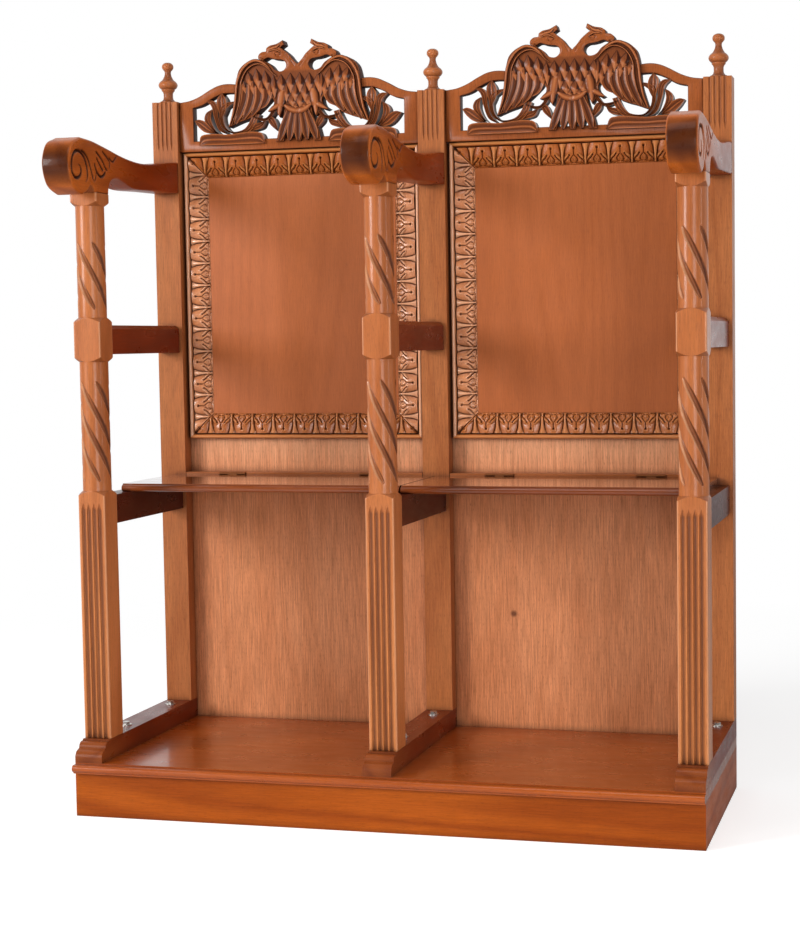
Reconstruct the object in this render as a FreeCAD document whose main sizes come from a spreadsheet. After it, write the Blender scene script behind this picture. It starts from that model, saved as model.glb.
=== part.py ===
import FreeCAD, Part
import math
import os
import re

# A double choir stall in beech: a plinth carries three side frames of posts and rails,
# each side frame ends in a scroll arm, and the backs between them carry a carved panel
# frame and a pierced crest with a double-headed eagle.  Two seats tip up on butt hinges.
# X runs along the stall, Y from front to back, Z up.  Lengths are in millimetres.

sizes = {
    # whole stall
    "stall_width": 1250,
    "stall_depth": 480,
    # plinth
    "plinth_height": 87,
    "plinth_board": 20,
    "platform_thick": 20,
    "nose_reach": 16,
    "joist_width": 40,
    # foot rails
    "foot_height": 40,
    "toe_setback": 34,
    "toe_fillet": 3,
    "toe_drop": 29,
    # front posts
    "post_side": 57,
    "front_setback": 43,
    "shoulder_margin": 2,
    "elbow_margin": 5,
    "upper_column": 229,
    "capital_height": 24,
    "column_diameter": 56,
    "pommel_rise": 9,
    "edge_ease": 2,
    "spiral_pitch": 321,
    "spiral_width": 9.5,
    "spiral_depth": 4.5,
    "spiral_foot": 27,
    "lower_spiral_stop": 48,
    "upper_spiral_stop": 72,
    "flute_width": 5.5,
    "flute_pitch": 11.4,
    "flute_point": 16,
    "flute_margin": 12,
    # back posts
    "back_post_height": 1303,
    "back_post_depth": 44,
    "back_flute_pitch": 10,
    "back_flute_run": 106,
    # seats, bearers and elbow rails
    "seat_height": 539,
    "seat_thick": 16,
    "seat_nose": 6.5,
    "seat_quirk": 2.5,
    "seat_gap": 3,
    "seat_back_gap": 1,
    "tip_clearance": 1.5,
    "rail_width": 42,
    "rail_height": 58,
    "rail_chamfer": 8,
    "elbow_clearance": 265,
    "batten_rise": 5,
    "batten_height": 36,
    "batten_gap": 1.5,
    # seat hinges
    "hinge_length": 60,
    "hinge_spacing": 320,
    "leaf_thick": 1.5,
    "leaf_height": 13,
    "barrel_diameter": 5.2,
    "hinge_pin": 2.6,
    "hinge_play": 0.3,
    "pin_play": 0.05,
    # scroll arms
    "scroll_reach": 68,
    "scroll_radius": 54,
    "scroll_lift": 47,
    "arm_dip": 26,
    "arm_rise": 33.5,
    "arm_ease": 4,
    # joints in the wood
    "tenon_width": 24,
    "tenon_height": 34,
    "tenon_length": 20,
    "tenon_play": 0.2,
    "dowel_diameter": 25,
    # backs
    "panel_thick": 10,
    "upper_panel_thick": 8,
    "frame_lift": 72,
    "frame_width": 55,
    "frame_proud": 18,
    "frame_gap": 4,
    # crests
    "crest_height": 108,
    "crest_thick": 22,
    "crest_recess": 11,
    "crest_rail": 23,
    "eagle_proud": 12,
    "leaf_proud": 5,
    # finials
    "finial_height": 87,
    "finial_diameter": 41,
    "spigot_diameter": 14,
    "spigot_length": 22,
    # foot rail bolts
    "bolt_diameter": 8,
    "bolt_length": 78,
    "bolt_head": 5.5,
    "bolt_head_across": 13,
    "bolt_play": 0.25,
    "bolt_inset": 72,
    "bolt_rear_inset": 47,
    "washer_diameter": 22,
    "washer_thick": 1.6,
}

Vector = FreeCAD.Vector
ALONG = Vector(1, 0, 0)
BACKWARD = Vector(0, 1, 0)
UP = Vector(0, 0, 1)
UPSIDE_DOWN = FreeCAD.Rotation(ALONG, 180)
LYING_ALONG = FreeCAD.Rotation(BACKWARD, 90)

doc = FreeCAD.newDocument("choir_stall")
sheet = doc.addObject("Spreadsheet::Sheet", "dims")
for row, alias in enumerate(sizes, 1):
    sheet.set(f"A{row}", alias.replace("_", " "))
    sheet.set(f"B{row}", str(sizes[alias]))
    sheet.setAlias(f"B{row}", alias)
doc.recompute()


class Dimensions:
    # the sheet's values, for the outlines that are worked out here
    def __init__(self):
        for name in sizes:
            setattr(self, name, float(sheet.get(name)))


dim = Dimensions()

# Levels, from the floor up
PLATFORM_TOP = "(plinth_height + platform_thick)"
FOOT_TOP = f"({PLATFORM_TOP} + foot_height)"
SEAT_TOP = f"({PLATFORM_TOP} + seat_height)"
BEARER_TOP = f"({SEAT_TOP} - seat_thick)"
BLOCK_TOP = f"({BEARER_TOP} + shoulder_margin)"
BATTEN_TOP = f"({SEAT_TOP} + batten_rise)"
ELBOW_BOTTOM = f"({SEAT_TOP} + elbow_clearance)"
CAPITAL_TOP = f"({ELBOW_BOTTOM} + rail_height + elbow_margin + upper_column + capital_height)"
POST_TOP = f"({FOOT_TOP} + back_post_height)"
CREST_BOTTOM = f"({POST_TOP} - crest_height)"
FRAME_BOTTOM = f"({BATTEN_TOP} + frame_lift)"
ARM_TENON_LIFT = "((scroll_lift + scroll_radius + arm_rise - tenon_height) / 2 - tenon_play)"

# Depths, from the plinth's front face back
POST_AXIS = "(front_setback + post_side / 2)"
POST_REAR = "(front_setback + post_side)"
BACK_FACE = "(stall_depth - back_post_depth)"
BACK_AXIS = "(stall_depth - back_post_depth / 2)"
PANEL_FACE = "(stall_depth - panel_thick)"
HINGE_LINE = f"({BACK_FACE} - seat_back_gap / 2)"

# Along the stall: the posts' centre lines, the middles of the bays and a bay's clear width
LINES = {"left": "-(stall_width - post_side) / 2", "centre": "0", "right": "(stall_width - post_side) / 2"}
BAYS = {"left": "-(stall_width - post_side) / 4", "right": "(stall_width - post_side) / 4"}
BAY_WIDTH = "((stall_width - post_side) / 2 - post_side)"

# The stall stands with the middle of its box over the origin; the scrolls reach furthest forward
CENTRE = "(stall_depth - scroll_reach) / 2"

pieces = []


def formula(text):
    # every size named in the text is a cell of the sheet
    return re.sub(r"[a-z]+(?:_[a-z]+)+", lambda name: "dims." + name.group(0), text)


def bind(thing, values):
    for name, text in values.items():
        thing.setExpression(name, formula(text))


def at_place(thing, place):
    bind(thing, dict(zip(("Placement.Base.x", "Placement.Base.y", "Placement.Base.z"), place)))


def point(first, second):
    # a point in a sketch's own plane
    return Vector(first, second, 0)


def box(name, corner, lengths):
    solid = doc.addObject("Part::Box", name)
    at_place(solid, corner)
    bind(solid, dict(zip(("Length", "Width", "Height"), lengths)))
    return solid


def centred_box(name, widths, y, z):
    # a box with its middle on the piece's centre line
    return box(name, (f"-({widths[0]}) / 2", y, z), widths)


def cylinder(name, radius, height, place, turn=None):
    solid = doc.addObject("Part::Cylinder", name)
    if turn:
        solid.Placement.Rotation = turn
    at_place(solid, place)
    bind(solid, {"Radius": radius, "Height": height})
    return solid


def cone(name, radius, height, place, turn=None):
    solid = doc.addObject("Part::Cone", name)
    if turn:
        solid.Placement.Rotation = turn
    solid.Radius2 = 0
    at_place(solid, place)
    bind(solid, {"Radius1": radius, "Height": height})
    return solid


def fused(name, solids):
    result = doc.addObject("Part::MultiFuse", name)
    result.Shapes = solids
    return result


def cut(name, base, tool):
    result = doc.addObject("Part::Cut", name)
    result.Base = base
    result.Tool = tool
    return result


def common(name, first, second):
    result = doc.addObject("Part::Common", name)
    result.Base = first
    result.Tool = second
    return result


def compound(name, solids):
    result = doc.addObject("Part::Compound", name)
    result.Links = solids
    return result


def feature(name, shape):
    result = doc.addObject("Part::Feature", name)
    result.Shape = shape
    return result


def chamfered(name, base, size, wanted):
    # the same chamfer on every edge whose end points, and the box round the solid, are as wanted
    doc.recompute()
    result = doc.addObject("Part::Chamfer", name)
    result.Base = base
    bounds = base.Shape.BoundBox
    result.Edges = [(number, size, size) for number, edge in enumerate(base.Shape.Edges, 1)
                    if wanted([vertex.Point for vertex in edge.Vertexes], bounds)]
    return result


def piece(node, solid, x="0", y="0", z="0"):
    # a finished sub-part: its label names its file, its placement sets it in the stall
    solid.Label = node
    at_place(solid, (x, f"{y} - {CENTRE}", z))
    pieces.append(solid)


def polyline(points):
    return [Part.LineSegment(start, end) for start, end in zip(points, points[1:])]


def arcs(points):
    # a smooth run: arcs through every three points in turn, and a line where one point is left over
    curves = [Part.Arc(*three) for three in zip(points[0::2], points[1::2], points[2::2])]
    if len(points) % 2 == 0:
        curves.append(Part.LineSegment(points[-2], points[-1]))
    return curves


def sketch_in(body, role, curves):
    # a sketch on one of the body's own planes
    sketch = body.newObject("Sketcher::SketchObject", body.Name + "_outline")
    plane = [item for item in body.Origin.OriginFeatures if item.Role == role][0]
    sketch.AttachmentSupport = [(plane, "")]
    sketch.MapMode = "FlatFace"
    sketch.addGeometry(curves)
    return sketch


def padded(name, role, curves, length, side_type="Symmetric"):
    # an outline padded to both sides of its plane, or to one
    body = doc.addObject("PartDesign::Body", name)
    pad = body.newObject("PartDesign::Pad", name + "_pad")
    pad.Profile = sketch_in(body, role, curves)
    pad.SideType = side_type
    bind(pad, {"Length": length})
    body.Tip = pad
    return body


def turned(name, curves):
    # an outline (radius, height) turned about the upright axis
    body = doc.addObject("PartDesign::Body", name)
    turning = body.newObject("PartDesign::Revolution", name + "_turning")
    turning.Profile = sketch_in(body, "XZ_Plane", curves)
    turning.ReferenceAxis = (turning.Profile[0], ["V_Axis"])
    turning.Angle = 360
    body.Tip = turning
    return body


def mortise(name, y, z, widths):
    # the hole for a tenon, with its play all round
    played = [f"{width} + 2 * tenon_play" for width in widths]
    return centred_box(name, played, f"{y} - tenon_play", f"{z} - tenon_play")


# Plinth: a mitred box of boards with a joist under each foot rail

def plinth_boards():
    wide = dim.stall_width / 2
    deep = dim.stall_depth
    thick = dim.plinth_board
    front = [point(-wide, 0), point(wide, 0), point(wide - thick, thick), point(-wide + thick, thick)]
    rear = [point(-wide, deep), point(wide, deep), point(wide - thick, deep - thick),
            point(-wide + thick, deep - thick)]
    right = [front[1], rear[1], rear[2], front[2]]
    left = [front[0], rear[0], rear[3], front[3]]
    boards = {"front_board": front, "rear_board": rear, "side_right": right, "side_left": left}
    for name, corners in boards.items():
        node = "plinth_" + name
        piece(node, padded(node, "XY_Plane", polyline(corners + corners[:1]), "plinth_height", "One side"))


BOLT_ROWS = {"front": f"({POST_REAR} + bolt_inset)", "rear": f"({BACK_FACE} - bolt_rear_inset)"}


def bolt_holes():
    # two holes in each side frame, down through foot rail and platform into the joist
    holes = {}
    for side, along in LINES.items():
        drilled = [cylinder(f"bolt_hole_{side}_{end}", "bolt_diameter / 2 + bolt_play",
                            "bolt_length + bolt_play",
                            (along, y, f"{FOOT_TOP} + washer_thick - bolt_length - bolt_play"))
                   for end, y in BOLT_ROWS.items()]
        holes[side] = fused("bolt_holes_" + side, drilled)
    return holes



def joists(holes):
    inner = "(stall_width / 2 - plinth_board)"
    left_faces = {"left": f"-{inner}", "centre": "-joist_width / 2", "right": f"{inner} - joist_width"}
    for side, left in left_faces.items():
        node = "plinth_joist_" + side
        stock = box(node + "_stock", (left, "plinth_board", "0"),
                    ("joist_width", "stall_depth - 2 * plinth_board", "plinth_height"))
        piece(node, cut(node, stock, holes[side]))


def platform(holes):
    # a board with a moulded nose: a quirk, a full round and a small return under it
    thick = dim.platform_thick
    quirk = thick * 0.15
    returned = dim.nose_reach * 0.6
    upper = point(-returned, thick - quirk)
    lower = point(-returned, quirk)
    middle = point(-dim.nose_reach, thick / 2)
    corners = [upper, point(0, thick - quirk), point(0, thick), point(dim.stall_depth, thick),
               point(dim.stall_depth, 0), point(-returned, 0), lower]
    board = padded("platform_stock", "YZ_Plane", polyline(corners) + arcs([lower, middle, upper]),
                   "stall_width")
    at_place(board, ("0", "0", "plinth_height"))
    piece("platform_board", cut("platform_board", board, fused("platform_holes", list(holes.values()))))


# Foot rails: the sill of each side frame, with a moulded toe

def foot_rails(holes):
    # the toe falls in a fillet, a hollow and a round to an upright face over the platform
    top = dim.foot_height
    toe = dim.toe_setback
    drop = dim.toe_drop
    fillet = top - dim.toe_fillet
    hollow_start = point(toe * 0.88, fillet)
    hollow_end = point(toe * 0.52, top - drop * 0.5)
    round_start = point(toe * 0.42, top - drop * 0.55)
    round_end = point(0, top - drop)
    outline = polyline([round_end, point(0, 0), point(dim.stall_depth, 0), point(dim.stall_depth, top),
                        point(toe, top), point(toe, fillet), hollow_start])
    outline += arcs([hollow_start, point(toe * 0.64, top - drop * 0.2), hollow_end])
    outline += arcs([hollow_end, round_start])
    outline += arcs([round_start, point(toe * 0.12, top - drop * 0.72), round_end])
    rail = padded("foot_rail_stock", "YZ_Plane", outline, "post_side")
    at_place(rail, ("0", "0", PLATFORM_TOP))
    depth = f"{FOOT_TOP} - tenon_length"
    foot = ("tenon_height", "tenon_width", "tenon_length")
    tools = fused("foot_rail_tools", [
        mortise("foot_rail_front_mortise", f"{POST_AXIS} - tenon_width / 2", depth, foot),
        mortise("foot_rail_rear_mortise", f"{BACK_AXIS} - tenon_width / 2", depth, foot),
        holes["centre"]])
    for side, along in LINES.items():
        node = "foot_rail_" + side
        piece(node, cut(node, rail, tools), along)


def bolts():
    # hexagon-head coach bolts and their washers, two to a foot rail
    bolted = {"foot_rail_bolts": [], "foot_rail_washers": []}
    for side, along in LINES.items():
        for end, y in BOLT_ROWS.items():
            name = f"bolt_{side}_{end}"
            seat = f"{FOOT_TOP} + washer_thick"
            shank = cylinder(name + "_shank", "bolt_diameter / 2", "bolt_length",
                             (along, y, f"{seat} - bolt_length"))
            head = doc.addObject("Part::Prism", name + "_head")
            head.Polygon = 6
            at_place(head, (along, y, seat))
            bind(head, {"Circumradius": "bolt_head_across / sqrt(3)", "Height": "bolt_head"})
            disc = cylinder(name + "_disc", "washer_diameter / 2", "washer_thick", (along, y, FOOT_TOP))
            bore = cylinder(name + "_bore", "bolt_diameter / 2 + bolt_play", "washer_thick",
                            (along, y, FOOT_TOP))
            bolted["foot_rail_bolts"].append(fused(name, [shank, head]))
            bolted["foot_rail_washers"].append(cut(name + "_washer", disc, bore))
    for node, solids in bolted.items():
        piece(node, compound(node, solids))


# Front posts: square blocks with turned, spirally fluted columns between them

def is_upright(ends, bounds):
    return abs(ends[0].z - ends[-1].z) > bounds.ZLength / 2


def column_levels():
    # how high over the foot rail the lower column and the upper one start and end
    bearer_top = dim.seat_height - dim.foot_height - dim.seat_thick
    elbow_bottom = dim.seat_height - dim.foot_height + dim.elbow_clearance
    upper = elbow_bottom + dim.rail_height + dim.elbow_margin
    return [(bearer_top + dim.shoulder_margin, elbow_bottom - dim.elbow_margin),
            (upper, upper + dim.upper_column)]


def columns():
    # the turned shape (radius, height); where it is wider than the square, the post stays square
    column = dim.column_diameter / 2
    half = dim.post_side / 2
    corner = half * math.sqrt(2)
    wide = corner * 1.1
    slope = dim.pommel_rise / (corner - half)
    rise = slope * (corner - column)
    dip = slope * (wide - corner)
    outline = [(0, 0), (wide, 0)]
    for low, high in column_levels():
        outline += [(wide, low - dip), (column, low + rise), (column, high - rise), (wide, high + dip)]
    top = high + dim.capital_height
    outline += [(wide, top), (0, top), (0, 0)]
    return turned("columns", polyline([point(*place) for place in outline]))


def spiral_flutes(low, high):
    # five gouged flutes that run down to the right, shallow at both ends
    stations = max(4, round((high - low) / dim.spiral_pitch * 14))
    radius = dim.column_diameter / 2
    clear = dim.spiral_depth * 0.6
    wires = []
    for step in range(stations + 1):
        run = step / stations
        angle = math.radians(-62) + 2 * math.pi * (high - low) * run / dim.spiral_pitch
        swell = max(0.25, math.sqrt(1 - (2 * run - 1) ** 8))
        deep = -dim.spiral_depth * swell
        outward = Vector(math.cos(angle), math.sin(angle), 0)
        across = UP.cross(outward) * (dim.spiral_width / 2 * swell)
        corners = []
        for side, rise in ((-1.2, clear), (-0.5, deep), (0.5, deep), (1.2, clear)):
            corners.append(outward * (radius + rise) + across * side + UP * (high + (low - high) * run))
        wires.append(Part.makePolygon(corners + corners[:1]))
    first = Part.makeLoft(wires, True, True)
    return [first.rotated(Vector(0, 0, 0), UP, 72 * number) for number in range(5)]


def straight_flutes(kind, face, low, high, pitch, shoulder, turn=None):
    # four round-bottomed flutes in a front face, drawn to a point at one end
    flutes = []
    for number in range(4):
        x = f"{number - 1.5} * {pitch}"
        name = f"{kind}_flute_{number}"
        flutes.append(cylinder(name, "flute_width / 2", f"{high} - {low}", (x, face, low)))
        flutes.append(cone(name + "_point", "flute_width / 2", "flute_point", (x, face, shoulder), turn))
    return flutes


def rail_mortises(kind, y):
    # the holes for the bearer's and the elbow rail's tenons
    lift = "(rail_height - tenon_height) / 2"
    levels = {"bearer": f"{BEARER_TOP} - rail_height + {lift}", "elbow": f"{ELBOW_BOTTOM} + {lift}"}
    return [mortise(f"{kind}_{name}_mortise", y, level, ("tenon_width", "tenon_length", "tenon_height"))
            for name, level in levels.items()]


def front_posts():
    stock = centred_box("front_post_stock", ("post_side", "post_side", f"{CAPITAL_TOP} - {FOOT_TOP}"),
                        "front_setback", FOOT_TOP)
    square = chamfered("front_post_square", stock, dim.edge_ease, is_upright)
    turning = columns()
    at_place(turning, ("0", POST_AXIS, FOOT_TOP))
    tenon = centred_box("front_post_tenon", ("tenon_height", "tenon_width", "tenon_length"),
                        f"{POST_AXIS} - tenon_width / 2", f"{FOOT_TOP} - tenon_length")
    dowel = cylinder("front_post_dowel", "dowel_diameter / 2", "tenon_length",
                     ("0", POST_AXIS, CAPITAL_TOP))
    post = fused("front_post_blank", [common("front_post_body", square, turning), tenon, dowel])
    (low, middle_low), (middle_high, high) = column_levels()
    spirals = spiral_flutes(low + dim.spiral_foot, middle_low - dim.lower_spiral_stop)
    spirals += spiral_flutes(middle_high + dim.spiral_foot, high - dim.upper_spiral_stop)
    grooves = feature("front_post_spirals", Part.makeCompound(spirals))
    at_place(grooves, ("0", POST_AXIS, FOOT_TOP))
    shoulder = f"({BLOCK_TOP} - flute_margin - flute_point)"
    flutes = straight_flutes("front_post", "front_setback", FOOT_TOP, shoulder, "flute_pitch", shoulder)
    mortises = rail_mortises("front_post", f"{POST_REAR} - tenon_length")
    tools = fused("front_post_tools", [grooves] + flutes + mortises)
    for side, along in LINES.items():
        node = "front_post_" + side
        piece(node, cut(node, post, tools), along)


def back_posts():
    stock = centred_box("back_post_stock", ("post_side", "back_post_depth", "back_post_height"),
                        BACK_FACE, FOOT_TOP)
    tenon = centred_box("back_post_tenon", ("tenon_height", "tenon_width", "tenon_length"),
                        f"{BACK_AXIS} - tenon_width / 2", f"{FOOT_TOP} - tenon_length")
    shoulder = f"({POST_TOP} - back_flute_run + flute_point)"
    flutes = straight_flutes("back_post", BACK_FACE, shoulder, POST_TOP, "back_flute_pitch", shoulder,
                             UPSIDE_DOWN)
    arm_hole = mortise("back_post_arm_mortise", BACK_FACE, f"{CAPITAL_TOP} + {ARM_TENON_LIFT}",
                       ("tenon_width", "tenon_length", "tenon_height"))
    socket = cylinder("back_post_socket", "spigot_diameter / 2 + tenon_play", "spigot_length + tenon_play",
                      ("0", BACK_AXIS, f"{POST_TOP} - spigot_length - tenon_play"))
    tools = fused("back_post_tools", flutes + rail_mortises("back_post", BACK_FACE) + [arm_hole, socket])
    post = fused("back_post_blank", [stock, tenon])
    for side, along in LINES.items():
        node = "back_post_" + side
        piece(node, cut(node, post, tools), along)


# Scroll arms

def arm_outline():
    # side view, up from the capital: a scroll over the post's front, a neck down to the capital
    # and a long dipping back
    radius = dim.scroll_radius
    centre = dim.scroll_radius - dim.scroll_reach
    high = dim.scroll_lift + radius
    rear = dim.stall_depth - dim.back_post_depth
    neck_front = point(dim.front_setback, 0)
    neck_rear = point(dim.front_setback + dim.post_side, 0)
    curl_end = point(centre + radius * 0.76, high - radius * 1.56)
    rear_low = point(rear, dim.arm_rise * 0.78)
    rear_high = point(rear, high - dim.arm_dip * 0.3)

    def top(share, dip):
        return point(centre + (rear - centre) * share, high - dim.arm_dip * dip)

    def under(share, rise):
        return point(neck_rear.x + (rear - neck_rear.x) * share, dim.arm_rise * rise)

    scroll = [point(centre, high), point(centre - radius, high - radius), point(centre, high - 2 * radius),
              point(centre + radius * 0.42, high - radius * 1.87), curl_end]
    throat = [curl_end, point(neck_front.x - radius * 0.15, radius * 0.15), neck_front]
    underside = [neck_rear, under(0.02, 0.57), under(0.08, 0.93), under(0.16, 1), under(0.25, 0.81),
                 under(0.45, 0.6), under(0.69, 0.67), rear_low]
    back = [rear_high, top(0.89, 0.5), top(0.76, 0.77), top(0.59, 1), top(0.42, 0.85), top(0.32, 0.62),
            top(0.22, 0.33), top(0.11, 0.08), scroll[0]]
    return (arcs(scroll) + arcs(throat) + polyline([neck_front, neck_rear]) + arcs(underside)
            + polyline([rear_low, rear_high]) + arcs(back))


def is_round_arm_side(ends, bounds):
    # the edges that a hand meets: round both side faces, from the back's top to the scroll's foot
    on_side = all(abs(abs(end.x) - bounds.XMax) < 0.01 for end in ends)
    below = all(end.y >= dim.front_setback and end.z < dim.arm_rise * 1.1 for end in ends)
    at_rear = all(end.y > bounds.YMax - 0.01 for end in ends)
    return on_side and not below and not at_rear


def arms():
    stock = padded("arm_stock", "YZ_Plane", arm_outline(), "post_side")
    eased = chamfered("arm_eased", stock, dim.arm_ease, is_round_arm_side)
    tenon = centred_box("arm_tenon", ("tenon_width", "tenon_length", "tenon_height"), BACK_FACE,
                        ARM_TENON_LIFT)
    socket = cylinder("arm_socket", "dowel_diameter / 2 + tenon_play", "tenon_length + tenon_play",
                      ("0", POST_AXIS, "0"))
    arm = fused("arm_blank", [eased, tenon])
    for side, along in LINES.items():
        node = "arm_" + side
        piece(node, cut(node, arm, socket), along, "0", CAPITAL_TOP)


# Seat bearers and elbow rails

def is_long_top_edge(ends, bounds):
    on_top = all(end.z > bounds.ZMax - 0.01 for end in ends)
    return on_top and abs(ends[0].y - ends[-1].y) > bounds.YLength / 2


def rails():
    span = f"({BACK_FACE} - {POST_REAR})"
    for kind, low in (("seat_bearer", f"({BEARER_TOP} - rail_height)"), ("elbow_rail", ELBOW_BOTTOM)):
        rail = centred_box(kind + "_stock", ("rail_width", span, "rail_height"), POST_REAR, low)
        if kind == "elbow_rail":
            rail = chamfered("elbow_rail_chamfered", rail, dim.rail_chamfer, is_long_top_edge)
        tenon = centred_box(kind + "_tenon", ("tenon_width", f"{span} + 2 * tenon_length", "tenon_height"),
                            f"{POST_REAR} - tenon_length", f"{low} + (rail_height - tenon_height) / 2")
        for side, along in LINES.items():
            node = f"{kind}_{side}"
            piece(node, fused(node, [rail, tenon]), along)


# Seats, their battens and hinges

HINGE_LEVEL = f"({SEAT_TOP} + hinge_play + barrel_diameter / 2)"
HINGE_ENDS = {"left": "-hinge_spacing / 2", "right": "hinge_spacing / 2"}


def seat_depth():
    # tipped up, the seat's front edge just clears the underside of the elbow rails
    axis_rise = dim.hinge_play + dim.barrel_diameter / 2
    reach = dim.elbow_clearance - dim.tip_clearance - axis_rise
    drop = dim.seat_thick + axis_rise
    return math.sqrt(reach ** 2 - drop ** 2) - dim.seat_back_gap / 2


def leaf_recesses(name, face, top):
    # room for one leaf of each hinge, let into an edge
    return [centred_box_at(f"{name}_{end}", along, ("hinge_length + 2 * hinge_play", "leaf_thick",
                                                    f"{top} - {SEAT_TOP} + leaf_height + hinge_play"),
                           face, f"{SEAT_TOP} - leaf_height - hinge_play")
            for end, along in HINGE_ENDS.items()]


def centred_box_at(name, along, widths, y, z):
    return box(name, (f"{along} - ({widths[0]}) / 2", y, z), widths)


def seats():
    # a plain board with a quirk and a half-round nose along its front edge, down from its top
    rear = dim.stall_depth - dim.back_post_depth - dim.seat_back_gap
    nose = rear - seat_depth() + dim.seat_nose
    upper = point(nose, -dim.seat_quirk)
    lower = point(nose, -dim.seat_thick)
    middle = point(nose - dim.seat_nose, (upper.y + lower.y) / 2)
    outline = polyline([lower, point(rear, lower.y), point(rear, 0), point(nose, 0), upper])
    stock = padded("seat_stock", "YZ_Plane", outline + arcs([upper, middle, lower]),
                   "(stall_width - post_side) / 2 - seat_gap")
    at_place(stock, ("0", "0", SEAT_TOP))
    recesses = leaf_recesses("seat_recess", f"{BACK_FACE} - seat_back_gap - leaf_thick", SEAT_TOP)
    tools = fused("seat_recesses", recesses)
    for side, along in BAYS.items():
        node = "seat_" + side
        piece(node, cut(node, stock, tools), along)


def battens():
    stock = centred_box("batten_stock", (f"{BAY_WIDTH} - 2 * batten_gap", "back_post_depth - panel_thick",
                                         "batten_height"),
                        BACK_FACE, f"{BATTEN_TOP} - batten_height")
    tools = leaf_recesses("batten_recess", BACK_FACE, BATTEN_TOP)
    for end, along in HINGE_ENDS.items():
        tools.append(centred_box_at(f"batten_notch_{end}", along,
                                    ("hinge_length + 2 * hinge_play",
                                     "barrel_diameter / 2 + 2 * hinge_play - seat_back_gap / 2",
                                     "batten_rise + hinge_play"),
                                    BACK_FACE, f"{SEAT_TOP} - hinge_play"))
    notches = fused("batten_notches", tools)
    for side, along in BAYS.items():
        node = "seat_batten_" + side
        piece(node, cut(node, stock, notches), along)


def hinge_leaf(name, face, knuckles):
    # a flat plate let into the wood, with a neck up to each of its knuckles
    parts = [centred_box(name + "_plate", ("hinge_length", "leaf_thick", "leaf_height"), face,
                         f"{SEAT_TOP} - leaf_height")]
    for number, (start, length) in enumerate(knuckles):
        parts.append(box(f"{name}_neck_{number}", (start, face, f"{SEAT_TOP} - leaf_thick"),
                         (length, "leaf_thick", f"{HINGE_LEVEL} - {SEAT_TOP} + leaf_thick")))
        parts.append(cylinder(f"{name}_knuckle_{number}", "barrel_diameter / 2", length,
                              (start, HINGE_LINE, HINGE_LEVEL), LYING_ALONG))
    return fused(name + "_blank", parts)


def hinges():
    outer = "(hinge_length / 3 - hinge_play / 2)"
    middle = "(hinge_length / 3 - hinge_play)"
    left_end = ("-hinge_length / 2", HINGE_LINE, HINGE_LEVEL)
    bore = cylinder("hinge_bore", "hinge_pin / 2 + pin_play", "hinge_length", left_end, LYING_ALONG)
    fixed = hinge_leaf("fixed_leaf", BACK_FACE,
                       [("-hinge_length / 2", outer), (f"hinge_length / 2 - {outer}", outer)])
    moving = hinge_leaf("moving_leaf", f"{BACK_FACE} - seat_back_gap - leaf_thick",
                        [(f"-{middle} / 2", middle)])
    for side, along in BAYS.items():
        made = {"hinge_fixed_leaves": [], "hinge_moving_leaves": [], "hinge_pins": []}
        for end, place in HINGE_ENDS.items():
            made["hinge_fixed_leaves"].append(cut(f"fixed_leaf_{side}_{end}", fixed, bore))
            made["hinge_moving_leaves"].append(cut(f"moving_leaf_{side}_{end}", moving, bore))
            pin = cylinder(f"hinge_pin_{side}_{end}", "hinge_pin / 2", "hinge_length", left_end,
                           LYING_ALONG)
            made["hinge_pins"].append(compound(f"pin_{side}_{end}", [pin]))
            for solids in made.values():
                at_place(solids[-1], (place, "0", "0"))
        for kind, solids in made.items():
            node = f"{kind}_{side}"
            piece(node, compound(node, solids), along)


# Backs: a full sheet, a smooth upper panel and its carved frame

FRAME_OVER = f"({BAY_WIDTH} - 2 * frame_gap)"
FRAME_HEIGHT = f"({CREST_BOTTOM} - {FRAME_BOTTOM})"


def back_panels():
    for side, along in BAYS.items():
        node = "back_panel_" + side
        full = box(node, ("0", "0", "0"), (BAY_WIDTH, "panel_thick", f"{CREST_BOTTOM} - {PLATFORM_TOP}"))
        piece(node, full, f"{along} - {BAY_WIDTH} / 2", PANEL_FACE, PLATFORM_TOP)
        node = "upper_panel_" + side
        field = box(node, ("0", "0", "0"), (f"{FRAME_OVER} - 2 * frame_width", "upper_panel_thick",
                                            f"{FRAME_HEIGHT} - 2 * frame_width"))
        piece(node, field, f"{along} - {FRAME_OVER} / 2 + frame_width", f"{PANEL_FACE} - upper_panel_thick",
              f"{FRAME_BOTTOM} + frame_width")


def moulding(name, length):
    # section of the frame, forward from the panel and across from its outer edge:
    # a bead, a hollow, a swelling band and a low inner fillet
    def at(forward, across):
        return point(-forward * dim.frame_proud, across * dim.frame_width)

    curves = polyline([at(0, 0), at(0.83, 0)])
    curves += arcs([at(0.83, 0), at(1, 0.06), at(0.83, 0.12), at(0.52, 0.17), at(0.6, 0.25), at(0.94, 0.58),
                    at(0.68, 0.9)])
    curves += polyline([at(0.68, 0.9), at(0.52, 0.9), at(0.52, 1), at(0, 1), at(0, 0)])
    return padded(name, "YZ_Plane", curves, length)


def mitre_waste(name, length):
    # the corners that the mitres cut off both ends of a moulding
    wide = dim.frame_width
    ends = []
    for end, hand in (("left", 1), ("right", -1)):
        corners = [point(0, 0), point(0, wide), point(hand * wide, wide), point(0, 0)]
        corner = padded(f"{name}_{end}_mitre", "XZ_Plane", polyline(corners), "2 * frame_proud")
        at_place(corner, (f"{-hand} * {length} / 2", "0", "0"))
        ends.append(corner)
    return fused(name + "_mitres", ends)


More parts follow.
